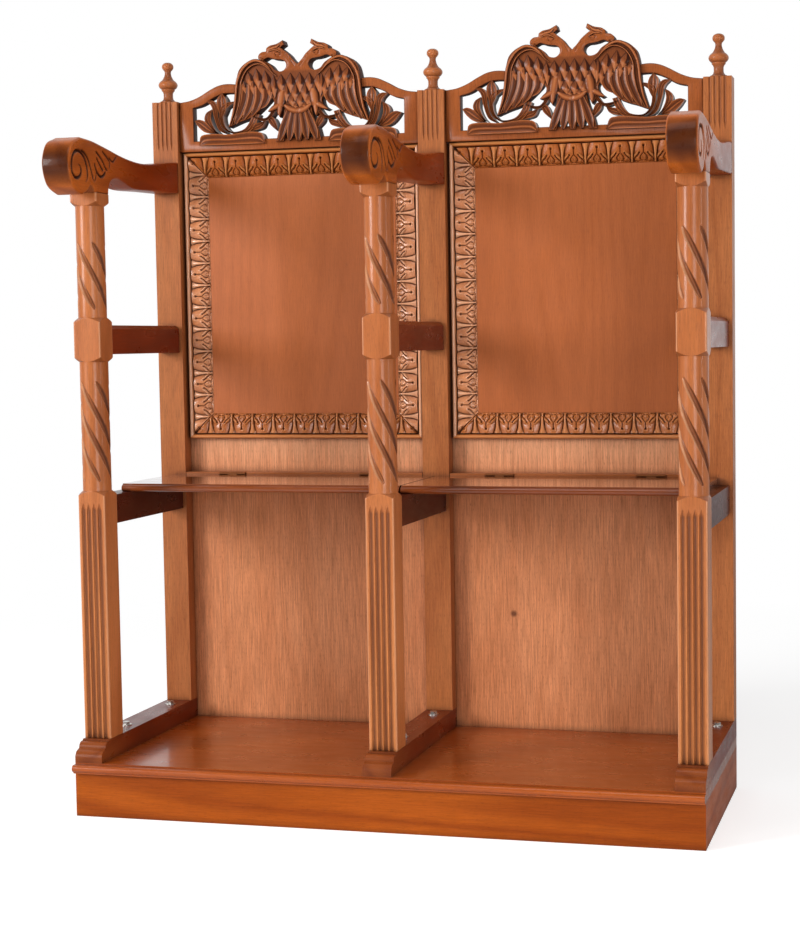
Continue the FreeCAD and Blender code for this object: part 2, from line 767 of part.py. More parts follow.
def frames():
    # the bottom member's outer edge lies at z = 0, and the others are it turned by quarters
    members = {}
    for name, length in (("level", FRAME_OVER), ("upright", FRAME_HEIGHT)):
        members[name] = (moulding(name + "_moulding", length), mitre_waste(name, length))
    places = {"bottom": ("level", 0, 0), "left": ("upright", -0.5, 0.5), "top": ("level", 0, 1),
              "right": ("upright", 0.5, 0.5)}
    for side, along in BAYS.items():
        for number, (place, (name, across, up)) in enumerate(places.items()):
            node = f"panel_frame_{side}_{place}"
            member = cut(node, *members[name])
            member.Placement.Rotation = FreeCAD.Rotation(BACKWARD, 90 * number)
            piece(node, member, f"{along} + {across} * {FRAME_OVER}", PANEL_FACE,
                  f"{FRAME_BOTTOM} + {up} * {FRAME_HEIGHT}")


# Crests: a pierced board with an eagle and leaf scrolls
# Half outlines, mirrored about the bay's middle.  A point is its distance from the middle, in
# thousandths of the bay's half width, and its height over the crest's lower edge, in thousandths
# of the crest's height at the posts.  A run of several points is a smooth chain of arcs.

EAGLE = [
    # between the heads, over the crest of one head, its beak and the neck behind
    [(0, 1630), (37, 1722), (70, 1824), (119, 1926), (141, 1963)],
    [(141, 1963), (108, 2019)],
    [(108, 2019), (119, 2102)],
    [(119, 2102), (171, 2037), (226, 2009), (256, 1963)],
    [(256, 1963), (260, 1898)],
    [(260, 1898), (297, 1889), (323, 1833), (326, 1769)],
    [(326, 1769), (304, 1722)],
    [(304, 1722), (345, 1750)],
    # round the wing to its tip and back under it
    [(345, 1750), (389, 1741), (434, 1694), (475, 1611), (500, 1509), (519, 1287), (530, 954), (549, 759),
     (589, 454)],
    [(589, 454), (493, 546), (430, 593), (374, 648)],
    [(374, 648), (304, 796), (241, 944), (222, 1019)],
    # leg and claws
    [(222, 1019), (200, 926), (215, 806), (252, 741)],
    [(252, 741), (222, 713), (185, 787)],
    [(185, 787), (174, 685), (152, 602)],
    [(152, 602), (137, 704), (126, 833)],
    [(126, 833), (108, 833)],
    # tail
    [(108, 833), (126, 611), (159, 407), (189, 139)],
    [(189, 139), (126, 139)],
    [(126, 139), (104, 352)],
    [(104, 352), (74, 139)],
    [(74, 139), (44, 352)],
    [(44, 352), (19, 139)],
    [(19, 139), (0, 139)],
]
NECK_LOOP = [
    [(285, 1731), (245, 1778), (204, 1750), (163, 1731), (126, 1722), (100, 1676), (93, 1602), (111, 1528),
     (145, 1500), (189, 1537), (226, 1639), (285, 1731)],
]
LEAVES = {
    "ground": [
        [(823, 120), (812, 287), (764, 333), (667, 333), (589, 315), (512, 324), (393, 352), (330, 343),
         (289, 306), (263, 120)],
        [(263, 120), (823, 120)]],
    "outer": [
        [(860, 611), (816, 630), (760, 565), (678, 343)],
        [(678, 343), (764, 370), (819, 472), (860, 611)]],
    "second": [
        [(712, 824), (756, 750), (771, 620), (730, 463), (645, 324)],
        [(645, 324), (690, 444), (719, 630), (712, 824)]],
    "hooked": [
        [(753, 991), (701, 991), (664, 889), (656, 667), (630, 463), (571, 306)],
        [(571, 306), (649, 407), (690, 667), (708, 870), (753, 991)]],
    "bud": [
        [(623, 1130), (660, 1019), (660, 880), (630, 611)],
        [(630, 611), (586, 833), (589, 1000), (623, 1130)]],
    "scroll": [
        [(512, 963), (586, 935), (634, 824), (641, 611), (601, 407), (500, 306), (397, 352), (341, 500),
         (311, 685)],
        [(311, 685), (356, 713)],
        [(356, 713), (400, 500), (452, 389), (549, 370), (604, 519), (612, 750), (575, 852), (512, 963)]],
    "low": [
        [(260, 556), (304, 519), (352, 491), (415, 352)],
        [(415, 352), (341, 380), (289, 426), (260, 556)]],
    "stem": [
        [(167, 778), (200, 639), (248, 556), (297, 556), (363, 648)],
        [(363, 648), (297, 611), (248, 611), (215, 694), (185, 815)],
        [(185, 815), (167, 778)]],
    "tail": [
        [(230, 611), (226, 519), (204, 444), (152, 333)],
        [(152, 333), (167, 500), (193, 611), (230, 611)]],
}
ARCH_TOP = [(982, 991), (905, 1019), (823, 1093), (741, 1204), (664, 1287), (582, 1315), (467, 1287)]
ARCH_UNDER = [(467, 1111), (586, 1130), (649, 1102), (712, 1037), (775, 944), (823, 898), (879, 870)]


half_bay = (dim.stall_width - dim.post_side) / 4 - dim.post_side / 2


def crest_point(drawn, side):
    across, up = drawn
    return point(side * across / 1000 * half_bay, up / 1000 * dim.crest_height)


def crest_curves(runs, side=1):
    curves = []
    for run in runs:
        curves += arcs([crest_point(drawn, side) for drawn in run])
    return curves


def crest_layer(name, curves, recess, thick):
    # one outline of the crest, padded between its own front and the crest's back
    layer = padded(name, "XZ_Plane", curves, thick)
    at_place(layer, ("0", f"{BACK_FACE} + {recess} + ({thick}) / 2", CREST_BOTTOM))
    return layer


def arch(side, name):
    # one stile and its half of the arched top, which dies into the wing
    outer = side * half_bay
    top = [crest_point(drawn, side) for drawn in ARCH_TOP]
    under = [crest_point(drawn, side) for drawn in ARCH_UNDER]
    curves = polyline([point(under[-1].x, 0), point(outer, 0), point(outer, top[0].y), top[0]])
    curves += arcs(top) + polyline([top[-1], under[0]]) + arcs(under)
    curves += polyline([under[-1], point(under[-1].x, 0)])
    return crest_layer(name, curves, "crest_recess", "crest_thick")


def crests():
    eagle_recess = "(crest_recess - eagle_proud)"
    eagle_thick = "crest_thick + eagle_proud"
    whole = crest_curves(EAGLE) + crest_curves(EAGLE, -1)
    eagle = crest_layer("eagle", whole, eagle_recess, eagle_thick)
    rail = centred_box("crest_rail", (BAY_WIDTH, "crest_thick", "crest_rail"),
                       f"{BACK_FACE} + crest_recess", CREST_BOTTOM)
    solids = [rail]
    loops = []
    for hand, side in (("right", 1), ("left", -1)):
        loop = crest_curves(NECK_LOOP, side)
        loops.append(crest_layer("neck_loop_" + hand, loop, eagle_recess, eagle_thick))
        solids.append(arch(side, "arch_" + hand))
        for name, runs in LEAVES.items():
            solids.append(crest_layer(f"leaf_{name}_{hand}", crest_curves(runs, side),
                                      "(crest_recess - leaf_proud)", "crest_thick + leaf_proud"))
    pierced = cut("eagle_pierced", eagle, fused("neck_loops", loops))
    for side, along in BAYS.items():
        node = "crest_" + side
        piece(node, fused(node, [pierced] + solids), along)


# Finials: turned, each with a spigot in its post

def finials():
    # hollow foot, fillet, bulb, hollow neck and a flattened ball over a spigot
    def at(radius, height):
        return point(radius * dim.finial_diameter / 2, height * dim.finial_height)

    spigot = dim.spigot_diameter / 2
    bottom = -dim.spigot_length
    curves = polyline([point(0, bottom), point(spigot, bottom), point(spigot, 0), at(0.87, 0),
                       at(0.87, 0.035), at(0.55, 0.14), at(0.5, 0.3), at(0.76, 0.33), at(0.76, 0.36)])
    curves += arcs([at(0.76, 0.36), at(1, 0.45), at(0.78, 0.54)])
    curves += polyline([at(0.78, 0.54), at(0.46, 0.63), at(0.3, 0.79)])
    curves += arcs([at(0.3, 0.79), at(0.61, 0.9), at(0.36, 0.99)])
    curves += polyline([at(0.36, 0.99), at(0, 1), point(0, bottom)])
    for side, along in LINES.items():
        node = "finial_" + side
        piece(node, turned(node, curves), along, BACK_AXIS, POST_TOP)


# The whole stall

drilled = bolt_holes()
plinth_boards()
joists(drilled)
platform(drilled)
foot_rails(drilled)
bolts()
front_posts()
back_posts()
arms()
rails()
seats()
battens()
hinges()
back_panels()
frames()
crests()
finials()
doc.recompute()

for thing in doc.Objects:
    if "Invalid" in thing.State or "Error" in thing.State:
        raise RuntimeError(f"{thing.Name} did not build: {thing.State}")
for solid in pieces:
    if solid.Shape.isNull() or not solid.Shape.isValid() or not solid.Shape.Solids:
        raise RuntimeError(f"{solid.Label} has no valid shape")

os.makedirs("parts", exist_ok=True)
for solid in pieces:
    solid.Shape.exportStep(f"parts/{solid.Label}.step")
print(f"{len(pieces)} sub-parts built")
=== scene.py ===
import math
import bpy
import numpy as np
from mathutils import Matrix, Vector
from mathutils.geometry import delaunay_2d_cdt


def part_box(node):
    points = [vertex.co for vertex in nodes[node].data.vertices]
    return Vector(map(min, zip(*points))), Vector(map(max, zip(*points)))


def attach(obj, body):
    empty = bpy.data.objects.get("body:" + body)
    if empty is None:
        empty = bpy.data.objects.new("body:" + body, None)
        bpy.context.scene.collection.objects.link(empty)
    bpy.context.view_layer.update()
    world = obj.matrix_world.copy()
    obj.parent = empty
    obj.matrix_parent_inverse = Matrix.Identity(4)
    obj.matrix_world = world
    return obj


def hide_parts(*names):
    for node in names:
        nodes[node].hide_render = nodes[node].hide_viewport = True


# The looks of a two-place choir stall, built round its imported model.
# Shapes are worked out in millimetres and become metres when a mesh is made.

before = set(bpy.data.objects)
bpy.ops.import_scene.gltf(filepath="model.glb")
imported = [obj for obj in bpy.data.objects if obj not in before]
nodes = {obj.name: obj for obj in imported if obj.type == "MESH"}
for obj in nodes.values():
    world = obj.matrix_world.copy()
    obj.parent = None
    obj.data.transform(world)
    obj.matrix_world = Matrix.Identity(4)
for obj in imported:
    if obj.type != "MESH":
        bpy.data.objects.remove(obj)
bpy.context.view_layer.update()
print("frame loaded,", len(nodes), "nodes")


def middleX(node):
    # half way between a node's two ends across the stall
    low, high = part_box(node)
    return round((low[0] + high[0]) * 500, 2)


# the three side frames and the two places between them
lineX = {side: middleX("front_post_" + side) for side in ("left", "centre", "right")}
bayX = {side: middleX("upper_panel_" + side) for side in ("left", "right")}


# camera, light and floor

cameraView = {"place": (1.0555, -3.4304, 0.9311), "turn": (86.034, 0.719, 14.002), "lens": 69.26,
              "shift": (-0.1062, -0.0064)}
studio = {
    # the world's light, and what gloss shows: a dim room before the stall, a white backdrop behind it
    "worldLevel": 0.29, "roomLevel": 0.12, "backdropLevel": 1.0, "backdropFrom": (-0.25, 0.15),
    # the paint turns to plain white between two distances
    "floorHalf": 9.0, "floorDrop": 0.0006, "floorTone": (0.82, 0.82, 0.82), "floorLift": 0.58,
    "floorWhite": (1.1, 3.0),
    "lamps": {
        "keyBox": {"place": (-4.3, -4.1, 2.3), "aim": (0.0, 0.0, 0.7), "size": (2.0, 2.5), "watts": 282},
        "fillBox": {"place": (1.9, -4.0, 0.95), "aim": (0.0, 0.0, 0.55), "size": (1.5, 1.7), "watts": 58},
        "topBox": {"place": (0.2, -1.6, 3.4), "aim": (0.0, 0.1, 0.4), "size": (2.2, 1.0), "watts": 20},
        "windowStrip": {"place": (3.6, -1.0, 1.2), "aim": (0.0, 0.0, 0.8), "size": (0.24, 2.0),
                        "watts": 16},
    },
}


def addNode(tree, kind, values=None, **settings):
    # a shader node with its settings; a value that is a socket is linked, any other is typed in
    made = tree.nodes.new(kind)
    for key, value in settings.items():
        setattr(made, key, value)
    for key, value in (values or {}).items():
        if isinstance(value, bpy.types.NodeSocket):
            tree.links.new(value, made.inputs[key])
        else:
            made.inputs[key].default_value = value
    return made


def mathNode(tree, kind, *values):
    # one step of arithmetic on numbers or sockets
    return addNode(tree, "ShaderNodeMath", dict(enumerate(values)), operation=kind).outputs[0]


def ranged(tree, value, fromLow, fromHigh, toLow=0.0, toHigh=1.0):
    # fromLow...fromHigh becomes toLow...toHigh along a straight line, and stops at both ends
    return addNode(tree, "ShaderNodeMapRange", {"Value": value, "From Min": fromLow, "From Max": fromHigh,
                                                "To Min": toLow, "To Max": toHigh}).outputs[0]


def tone(colour):
    # the same colour, opaque
    return (*colour, 1.0)


def blendColour(tree, share, first, second, kind="MIX"):
    # first times (1 - share) plus second times share, or their product
    made = addNode(tree, "ShaderNodeMix", {0: share, 6: first, 7: second}, data_type="RGBA",
                   blend_type=kind)
    return made.outputs[2]


def newMaterial(name):
    # a material and its node tree, still empty
    material = bpy.data.materials.new(name)
    material.use_nodes = True
    material.node_tree.nodes.clear()
    return material, material.node_tree


def addCamera(view):
    # stands at a place, turned about X, Y and Z in degrees, with its frame slid sideways by the shift
    lens = bpy.data.cameras.new("stallCamera")
    lens.lens = view["lens"]
    lens.shift_x, lens.shift_y = view["shift"]
    camera = bpy.data.objects.new("stallCamera", lens)
    camera.location = view["place"]
    camera.rotation_euler = [math.radians(turn) for turn in view["turn"]]
    bpy.context.scene.collection.objects.link(camera)
    bpy.context.scene.camera = camera


def addLamps(lamps):
    # each lamp's -Z runs from its place to its aim
    for name, lamp in lamps.items():
        light = bpy.data.lights.new(name, "AREA")
        light.shape = "RECTANGLE"
        light.size, light.size_y = lamp["size"]
        light.energy = lamp["watts"]
        box = bpy.data.objects.new(name, light)
        box.location = lamp["place"]
        aim = Vector(lamp["aim"]) - Vector(lamp["place"])
        box.rotation_euler = aim.to_track_quat("-Z", "Y").to_euler()
        bpy.context.scene.collection.objects.link(box)


def addWorld(settings):
    # white for the eye, a plain level for light, and for gloss a level that rises with the ray's Y
    world = bpy.data.worlds.new("paleStudio")
    world.use_nodes = True
    bpy.context.scene.world = world
    tree = world.node_tree
    tree.nodes.clear()
    path = addNode(tree, "ShaderNodeLightPath")
    towards = addNode(tree, "ShaderNodeTexCoord").outputs["Object"]
    ahead = addNode(tree, "ShaderNodeSeparateXYZ", {0: towards}).outputs["Y"]
    mirrored = ranged(tree, ahead, *settings["backdropFrom"], settings["roomLevel"],
                      settings["backdropLevel"])
    room, shown, white = (
        addNode(tree, "ShaderNodeBackground", {"Color": (1, 1, 1, 1), "Strength": level}).outputs[0]
        for level in (settings["worldLevel"], mirrored, 1.0))
    gloss = addNode(tree, "ShaderNodeMixShader", {0: path.outputs["Is Glossy Ray"], 1: room, 2: shown})
    seen = mathNode(tree, "MAXIMUM", path.outputs["Is Camera Ray"], path.outputs["Is Transmission Ray"])
    both = addNode(tree, "ShaderNodeMixShader", {0: seen, 1: gloss.outputs[0], 2: white})
    addNode(tree, "ShaderNodeOutputWorld", {"Surface": both.outputs[0]})


def addFloor(settings):
    # a square sheet that keeps the shadow; for the eye it is lifted, and turns to white further out
    half, down = settings["floorHalf"], -settings["floorDrop"]
    mesh = bpy.data.meshes.new("paleFloor")
    mesh.from_pydata([(x * half, y * half, down) for x, y in ((-1, -1), (1, -1), (1, 1), (-1, 1))], [],
                     [(0, 1, 2, 3)])
    floor = bpy.data.objects.new("paleFloor", mesh)
    bpy.context.scene.collection.objects.link(floor)
    material, tree = newMaterial("floorPaint")
    seen = addNode(tree, "ShaderNodeLightPath").outputs["Is Camera Ray"]
    place = addNode(tree, "ShaderNodeTexCoord").outputs["Object"]
    reach = addNode(tree, "ShaderNodeVectorMath", {0: place}, operation="LENGTH").outputs["Value"]
    far = mathNode(tree, "MULTIPLY", ranged(tree, reach, *settings["floorWhite"]), seen)
    lift = mathNode(tree, "MULTIPLY", seen, settings["floorLift"])
    paint = addNode(tree, "ShaderNodeBsdfDiffuse", {"Color": tone(settings["floorTone"])})
    glow = addNode(tree, "ShaderNodeEmission", {"Strength": lift})
    near = addNode(tree, "ShaderNodeAddShader", {0: paint.outputs[0], 1: glow.outputs[0]})
    plain = addNode(tree, "ShaderNodeEmission", {"Strength": 1.0})
    mixed = addNode(tree, "ShaderNodeMixShader", {0: far, 1: near.outputs[0], 2: plain.outputs[0]})
    addNode(tree, "ShaderNodeOutputMaterial", {"Surface": mixed.outputs[0]})
    mesh.materials.append(material)


bpy.context.scene.view_settings.view_transform = "Standard"
addCamera(cameraView)
addLamps(studio["lamps"])
addWorld(studio)
addFloor(studio)
print("camera, lamps, world and floor")


# wood and steel

def woodMaterial(name, look):
    # lacquered wood. Growth rings are a power of the sine of a noise; clouds, fibres and short pores are
    # noises drawn out along the grain. Corners get painted shade from an ambient occlusion factor; where
    # "recess" is over 0 the stain colour is laid on as painted shade and stain, and where it is under 0 the
    # wood is made pale as wear and painted highlight
    material, tree = newMaterial(name)
    axis = "xyz".index(look["along"])
    place = addNode(tree, "ShaderNodeTexCoord").outputs["Object"]

    def squeezed(share, shift):
        # places times a share along the grain, so that a pattern on them is drawn out
        scale = [1.0, 1.0, 1.0]
        scale[axis] = share
        moved = (shift, shift * 1.7, shift * 0.6)
        return addNode(tree, "ShaderNodeMapping",
                       {"Vector": place, "Scale": scale, "Location": moved}).outputs[0]

    def noise(vector, scale, detail, rough=0.5):
        # noise with so many waves to the metre
        return addNode(tree, "ShaderNodeTexNoise", {"Vector": vector, "Scale": scale, "Detail": detail,
                                                    "Roughness": rough}).outputs["Fac"]

    def laid(below, share, layer):
        # one of the look's colours laid over what is there
        return blendColour(tree, share, below, tone(look[layer]))

    clouds = noise(squeezed(0.35, 3.1), look["cloudScale"], 3.0)
    waviness = noise(squeezed(look["ringStretch"], look["ringShift"]), look["ringScale"], 1.5, 0.4)
    wave = mathNode(tree, "SINE", mathNode(tree, "MULTIPLY", waviness, look["ringCount"] * 6.283))
    rings = mathNode(tree, "POWER", mathNode(tree, "MULTIPLY_ADD", wave, 0.5, 0.5), look["ringSharp"])
    fibres = noise(squeezed(0.035, 1.3), look["fibreScale"], 3.0, 0.65)
    pores = ranged(tree, noise(squeezed(0.06, 5.3), look["poreScale"], 1.0), 0.60, 0.72)

    colour = blendColour(tree, ranged(tree, clouds, 0.3, 0.7), tone(look["dark"]), tone(look["light"]))
    if "paleTo" in look:
        # a paler colour towards one end of the grain, and only before a given depth; on the arms' fronts
        # and on the back panels' strip above the seat it is painted light
        spot = addNode(tree, "ShaderNodeSeparateXYZ", {0: place})
        full, none, before = (at / 1000 for at in (*look["paleTo"], look["paleBefore"]))
        share = mathNode(tree, "MULTIPLY", ranged(tree, spot.outputs[axis], none, full),
                         ranged(tree, spot.outputs["Y"], before + 0.002, before))
        colour = laid(colour, share, "pale")
    colour = laid(colour, mathNode(tree, "MULTIPLY", rings, look["ringDepth"]), "ring")
    streaks = ranged(tree, fibres, 0.25, 0.75, 1 - look["fibreDepth"], 1 + look["fibreDepth"])
    streakTone = addNode(tree, "ShaderNodeCombineColor", dict.fromkeys(range(3), streaks)).outputs[0]
    colour = blendColour(tree, 1.0, colour, streakTone, "MULTIPLY")
    colour = laid(colour, mathNode(tree, "MULTIPLY", pores, look["poreDepth"]), "stainAndShade")
    for knot in look["knots"]:
        away = addNode(tree, "ShaderNodeVectorMath", {0: place, 1: [at / 1000 for at in knot["at"]]},
                       operation="DISTANCE").outputs["Value"]
        colour = laid(colour, ranged(tree, away, knot["size"] / 1000, knot["size"] / 2600, 0.0, 0.75),
                      "stainAndShade")
    # end grain drinks more stain
    normal = addNode(tree, "ShaderNodeTexCoord").outputs["Normal"]
    facing = addNode(tree, "ShaderNodeSeparateXYZ", {0: normal})
    ends = ranged(tree, mathNode(tree, "ABSOLUTE", facing.outputs[axis]), 0.55, 0.95, 0.0, look["endDepth"])
    # painted shade in recesses (recess over 0), and painted highlight with wear on ridges and edges (recess
    # under 0)
    carved = addNode(tree, "ShaderNodeAttribute", attribute_name="recess").outputs["Fac"]
    deep = ranged(tree, carved, 0.0, 1.0, 0.0, look["recessShadeMost"])
    high = ranged(tree, carved, 0.0, -1.0, 0.0, look["wearAndHighlightMost"])
    # painted shade in corners: the stain colour is laid where ambient occlusion finds surfaces near
    shade = addNode(tree, "ShaderNodeAmbientOcclusion", {"Distance": look["cornerReach"]}, samples=6)
    corner = ranged(tree, shade.outputs["AO"], 0.80, 0.22, 0.0, look["cornerShade"])
    for share, layer in ((ends, "stainAndShade"), (corner, "stainAndShade"), (deep, "stainAndShade"), (high, "wearAndHighlight")):
        colour = laid(colour, share, layer)

    # gloss varies in patches and is dulled where the painted recess shade is laid
    gloss = ranged(tree, noise(squeezed(0.4, 2.2), 38.0, 2.0), 0.3, 0.7, look["rough"] - 0.05,
                   look["rough"] + 0.07)
    dull = mathNode(tree, "MULTIPLY_ADD", deep, look["recessRough"], gloss)
    ridges = mathNode(tree, "SUBTRACT", fibres, mathNode(tree, "MULTIPLY", pores, 0.6))
    bump = addNode(tree, "ShaderNodeBump", {"Height": ridges, "Strength": look["bump"], "Distance": 0.0004})
    film = addNode(tree, "ShaderNodeBump", {"Height": noise(place, 160.0, 1.0), "Strength": look["film"],
                                            "Distance": 0.0005})
    shader = addNode(tree, "ShaderNodeBsdfPrincipled", {
        "Base Color": colour, "Roughness": dull, "Normal": bump.outputs[0], "Coat Normal": film.outputs[0],
        "Specular IOR Level": look["specular"], "Coat Weight": look["coat"],
        "Coat Roughness": look["coatRough"]})
    addNode(tree, "ShaderNodeOutputMaterial", {"Surface": shader.outputs[0]})
    return material


def steelMaterial(name, look):
    # one fine noise drives the patches of colour, the dull spots and the grain of the surface
    material, tree = newMaterial(name)
    place = addNode(tree, "ShaderNodeTexCoord").outputs["Object"]
    patches = addNode(tree, "ShaderNodeTexNoise", {"Vector": place, "Scale": 420.0, "Detail": 3.0})
    patches = patches.outputs["Fac"]
    rough = ranged(tree, patches, 0.3, 0.7, look["rough"] - 0.08, look["rough"] + 0.1)
    colour = blendColour(tree, patches, tone(look["dark"]), tone(look["light"]))
    bump = addNode(tree, "ShaderNodeBump", {"Height": patches, "Strength": 0.15, "Distance": 0.0002})
    shader = addNode(tree, "ShaderNodeBsdfPrincipled", {"Base Color": colour, "Roughness": rough,
                                                        "Normal": bump.outputs[0], "Metallic": 1.0})
    addNode(tree, "ShaderNodeOutputMaterial", {"Surface": shader.outputs[0]})
    return material


# what every wood has unless it says otherwise; scales are in waves to the metre, places in millimetres
stainedBeech = {
    "along": "z", "light": (0.50, 0.160, 0.050), "dark": (0.40, 0.115, 0.031), "ring": (0.29, 0.072, 0.016),
    "stainAndShade": (0.046, 0.008, 0.003), "wearAndHighlight": (0.68, 0.31, 0.145), "recessShadeMost": 0.96, "wearAndHighlightMost": 0.55,
    "cloudScale": 9.0, "ringScale": 7.0, "ringShift": 0.7, "ringStretch": 0.10, "ringCount": 9.0,
    "ringSharp": 2.0, "ringDepth": 0.36, "fibreScale": 620.0, "fibreDepth": 0.20, "poreScale": 1500.0,
    "poreDepth": 0.35, "knots": (), "paleBefore": 900, "cornerReach": 0.022, "cornerShade": 0.85, "endDepth": 0.45,
    "rough": 0.36, "recessRough": 0.45, "bump": 0.25, "specular": 0.20, "coat": 0.16, "coatRough": 0.12,
    "film": 0.12,
}
lightBeech = {"light": (0.62, 0.245, 0.108), "dark": (0.52, 0.185, 0.074), "ring": (0.43, 0.135, 0.046),
              "poreDepth": 0.5, "fibreDepth": 0.32, "rough": 0.42, "specular": 0.15, "coat": 0.08}
redBeech = {"along": "y", "light": (0.20, 0.021, 0.0016), "dark": (0.14, 0.013, 0.0010),
            "ring": (0.10, 0.009, 0.001), "stainAndShade": (0.020, 0.003, 0.001), "wearAndHighlight": (0.36, 0.085, 0.020),
            "rough": 0.30, "specular": 0.16, "coat": 0.14, "coatRough": 0.08, "endDepth": 0.65}
redPlinth = {"light": (0.42, 0.089, 0.0068), "dark": (0.33, 0.064, 0.0040), "ring": (0.23, 0.038, 0.0025),
             "ringDepth": 0.6, "ringScale": 5.0, "specular": 0.12, "coat": 0.06}
finishes = {
    "postWood": {"light": (0.48, 0.152, 0.046), "dark": (0.385, 0.108, 0.028), "wearAndHighlight": (0.86, 0.46, 0.26),
                 "pale": (0.58, 0.200, 0.062), "paleTo": (330, 690), "rough": 0.34, "coat": 0.2,
                 "coatRough": 0.09, "film": 0.05, "cornerShade": 0.95},
    "carvedWood": {"light": (0.34, 0.092, 0.023), "dark": (0.25, 0.062, 0.014),
                   "stainAndShade": (0.028, 0.005, 0.002), "wearAndHighlight": (0.66, 0.26, 0.105), "cornerShade": 0.98,
                   "rough": 0.34, "specular": 0.08, "coat": 0.22, "coatRough": 0.20},
    # the frame's side, top and bottom members are lit and shaded copies of one wood: the sides painted
    # light, the top painted shade, the bottom between them
    "frameSideLitWood": {"light": (0.66, 0.265, 0.115), "dark": (0.55, 0.200, 0.076), "wearAndHighlight": (0.84, 0.46, 0.27),
                  "rough": 0.28, "coat": 0.8, "coatRough": 0.19},
    "frameTopShadedWood": {"along": "x", "light": (0.40, 0.103, 0.018), "dark": (0.32, 0.076, 0.011),
                     "wearAndHighlight": (0.62, 0.25, 0.08), "rough": 0.34, "specular": 0.12, "coat": 0.06},
    "frameBottomHalfShadedWood": {"along": "x", "light": (0.50, 0.152, 0.038), "dark": (0.40, 0.113, 0.025),
                     "wearAndHighlight": (0.66, 0.26, 0.09), "rough": 0.30, "coat": 0.45, "coatRough": 0.17},
    "railWoodX": {"along": "x"},
    "plinthWood": dict(redPlinth, along="x", ringShift=0.2),
    "plinthSideWood": dict(redPlinth, along="y"),
    "platformWood": {"along": "x", "light": (0.43, 0.090, 0.009), "dark": (0.35, 0.066, 0.006),
                     "ring": (0.27, 0.046, 0.004), "ringDepth": 0.2, "rough": 0.30, "specular": 0.3,
                     "coat": 0.5, "coatRough": 0.13, "bump": 0.1, "film": 0.02},
    "seatWood": {"along": "x", "light": (0.235, 0.056, 0.013), "dark": (0.18, 0.038, 0.008),
                 "ring": (0.135, 0.026, 0.006), "rough": 0.20, "coat": 1.0, "coatRough": 0.03, "bump": 0.08,
                 "film": 0.015},
    "backPostWood": dict(lightBeech, light=(0.43, 0.145, 0.045), dark=(0.35, 0.104, 0.029),
                         ring=(0.28, 0.073, 0.017)),
    # the strip of the back panel above the seat is paler on its front: painted light
    "lowerPanelWood": dict(lightBeech, pale=(0.69, 0.325, 0.168), paleTo=(720, 610), paleBefore=268,
                           ringDepth=0.22, ringScale=10.0, fibreDepth=0.38, fibreScale=420.0,
                           knots=({"at": (157, 264, 352), "size": 9},)),
    "upperPanelWood": {"light": (0.43, 0.118, 0.033), "dark": (0.345, 0.088, 0.021), "ringScale": 4.2,
                       "ringCount": 16.0, "ringDepth": 0.22, "poreDepth": 0.25, "fibreDepth": 0.16,
                       "cloudScale": 5.0, "rough": 0.40, "coat": 0.12, "coatRough": 0.25},
    # the arm is paler towards its front: painted light
    "armWood": dict(redBeech, light=(0.33, 0.045, 0.0035), dark=(0.235, 0.027, 0.0020),
                    wearAndHighlight=(0.47, 0.12, 0.030), pale=(0.48, 0.115, 0.018), paleTo=(-190, 40), coat=0.10,
                    specular=0.10, endDepth=0.88),
    "elbowWood": redBeech,
    "footRailWood": dict(redBeech, endDepth=0.15, pale=(0.28, 0.066, 0.014), paleTo=(-190, -60)),
    # the bearers under the seat are made nearly black: painted shade
    "shadedBearerWood": dict(redBeech, light=(0.075, 0.008, 0.002), dark=(0.050, 0.005, 0.001), coat=0.08),
}
steels = {
    "zincSteel": {"dark": (0.42, 0.41, 0.39), "light": (0.68, 0.67, 0.64), "rough": 0.30},
    "brownedSteel": {"dark": (0.20, 0.072, 0.027), "light": (0.30, 0.112, 0.046), "rough": 0.60},
}
materials = {name: woodMaterial(name, dict(stainedBeech, **look)) for name, look in finishes.items()}
materials.update({name: steelMaterial(name, look) for name, look in steels.items()})
woodOf = {
    "plinth_front": "plinthWood", "plinth_rear": "plinthWood", "plinth_side": "plinthSideWood",
    "plinth_joist": "plinthSideWood", "platform": "platformWood", "foot_rail_bolts": "zincSteel",
    "foot_rail_washers": "zincSteel", "foot_rail": "footRailWood", "front_post": "postWood",
    "back_post": "backPostWood", "arm": "armWood", "elbow_rail": "elbowWood", "seat_bearer": "shadedBearerWood",
    "seat_batten": "railWoodX", "seat": "seatWood", "hinge": "brownedSteel", "back_panel": "lowerPanelWood",
    "upper_panel": "upperPanelWood", "panel_frame": "frameSideLitWood", "crest": "carvedWood",
    "finial": "postWood",
}


def dressNodes(choices):
    # the longest matching beginning of a node's name chooses its material
    for name, node in nodes.items():
        start = max((key for key in choices if name.startswith(key)), key=len)
        node.data.materials.clear()
        node.data.materials.append(materials[choices[start]])


dressNodes(woodOf)
print("materials:", len(materials))


# meshes from arrays

def unit(values):
    # kept between 0 and 1
    return np.clip(values, 0, 1)


def bell(values, middle, width):
    # 1 at the middle, falling to both sides as a bell curve
    return np.exp(-((values - middle) / width) ** 2)


def tubeFaces(rows, columns):
    # points are numbered row by row, and each row is a ring: quads between the rings, and one face over
    # the first of them and one over the last
    here = np.arange(rows * columns).reshape(rows, columns)
    here = np.hstack([here, here[:, :1]])
    quads = np.stack([here[:-1, :-1], here[:-1, 1:], here[1:, 1:], here[1:, :-1]], -1).reshape(-1, 4)
    return [quads, here[:1, -2::-1], here[-1:, :-1]]


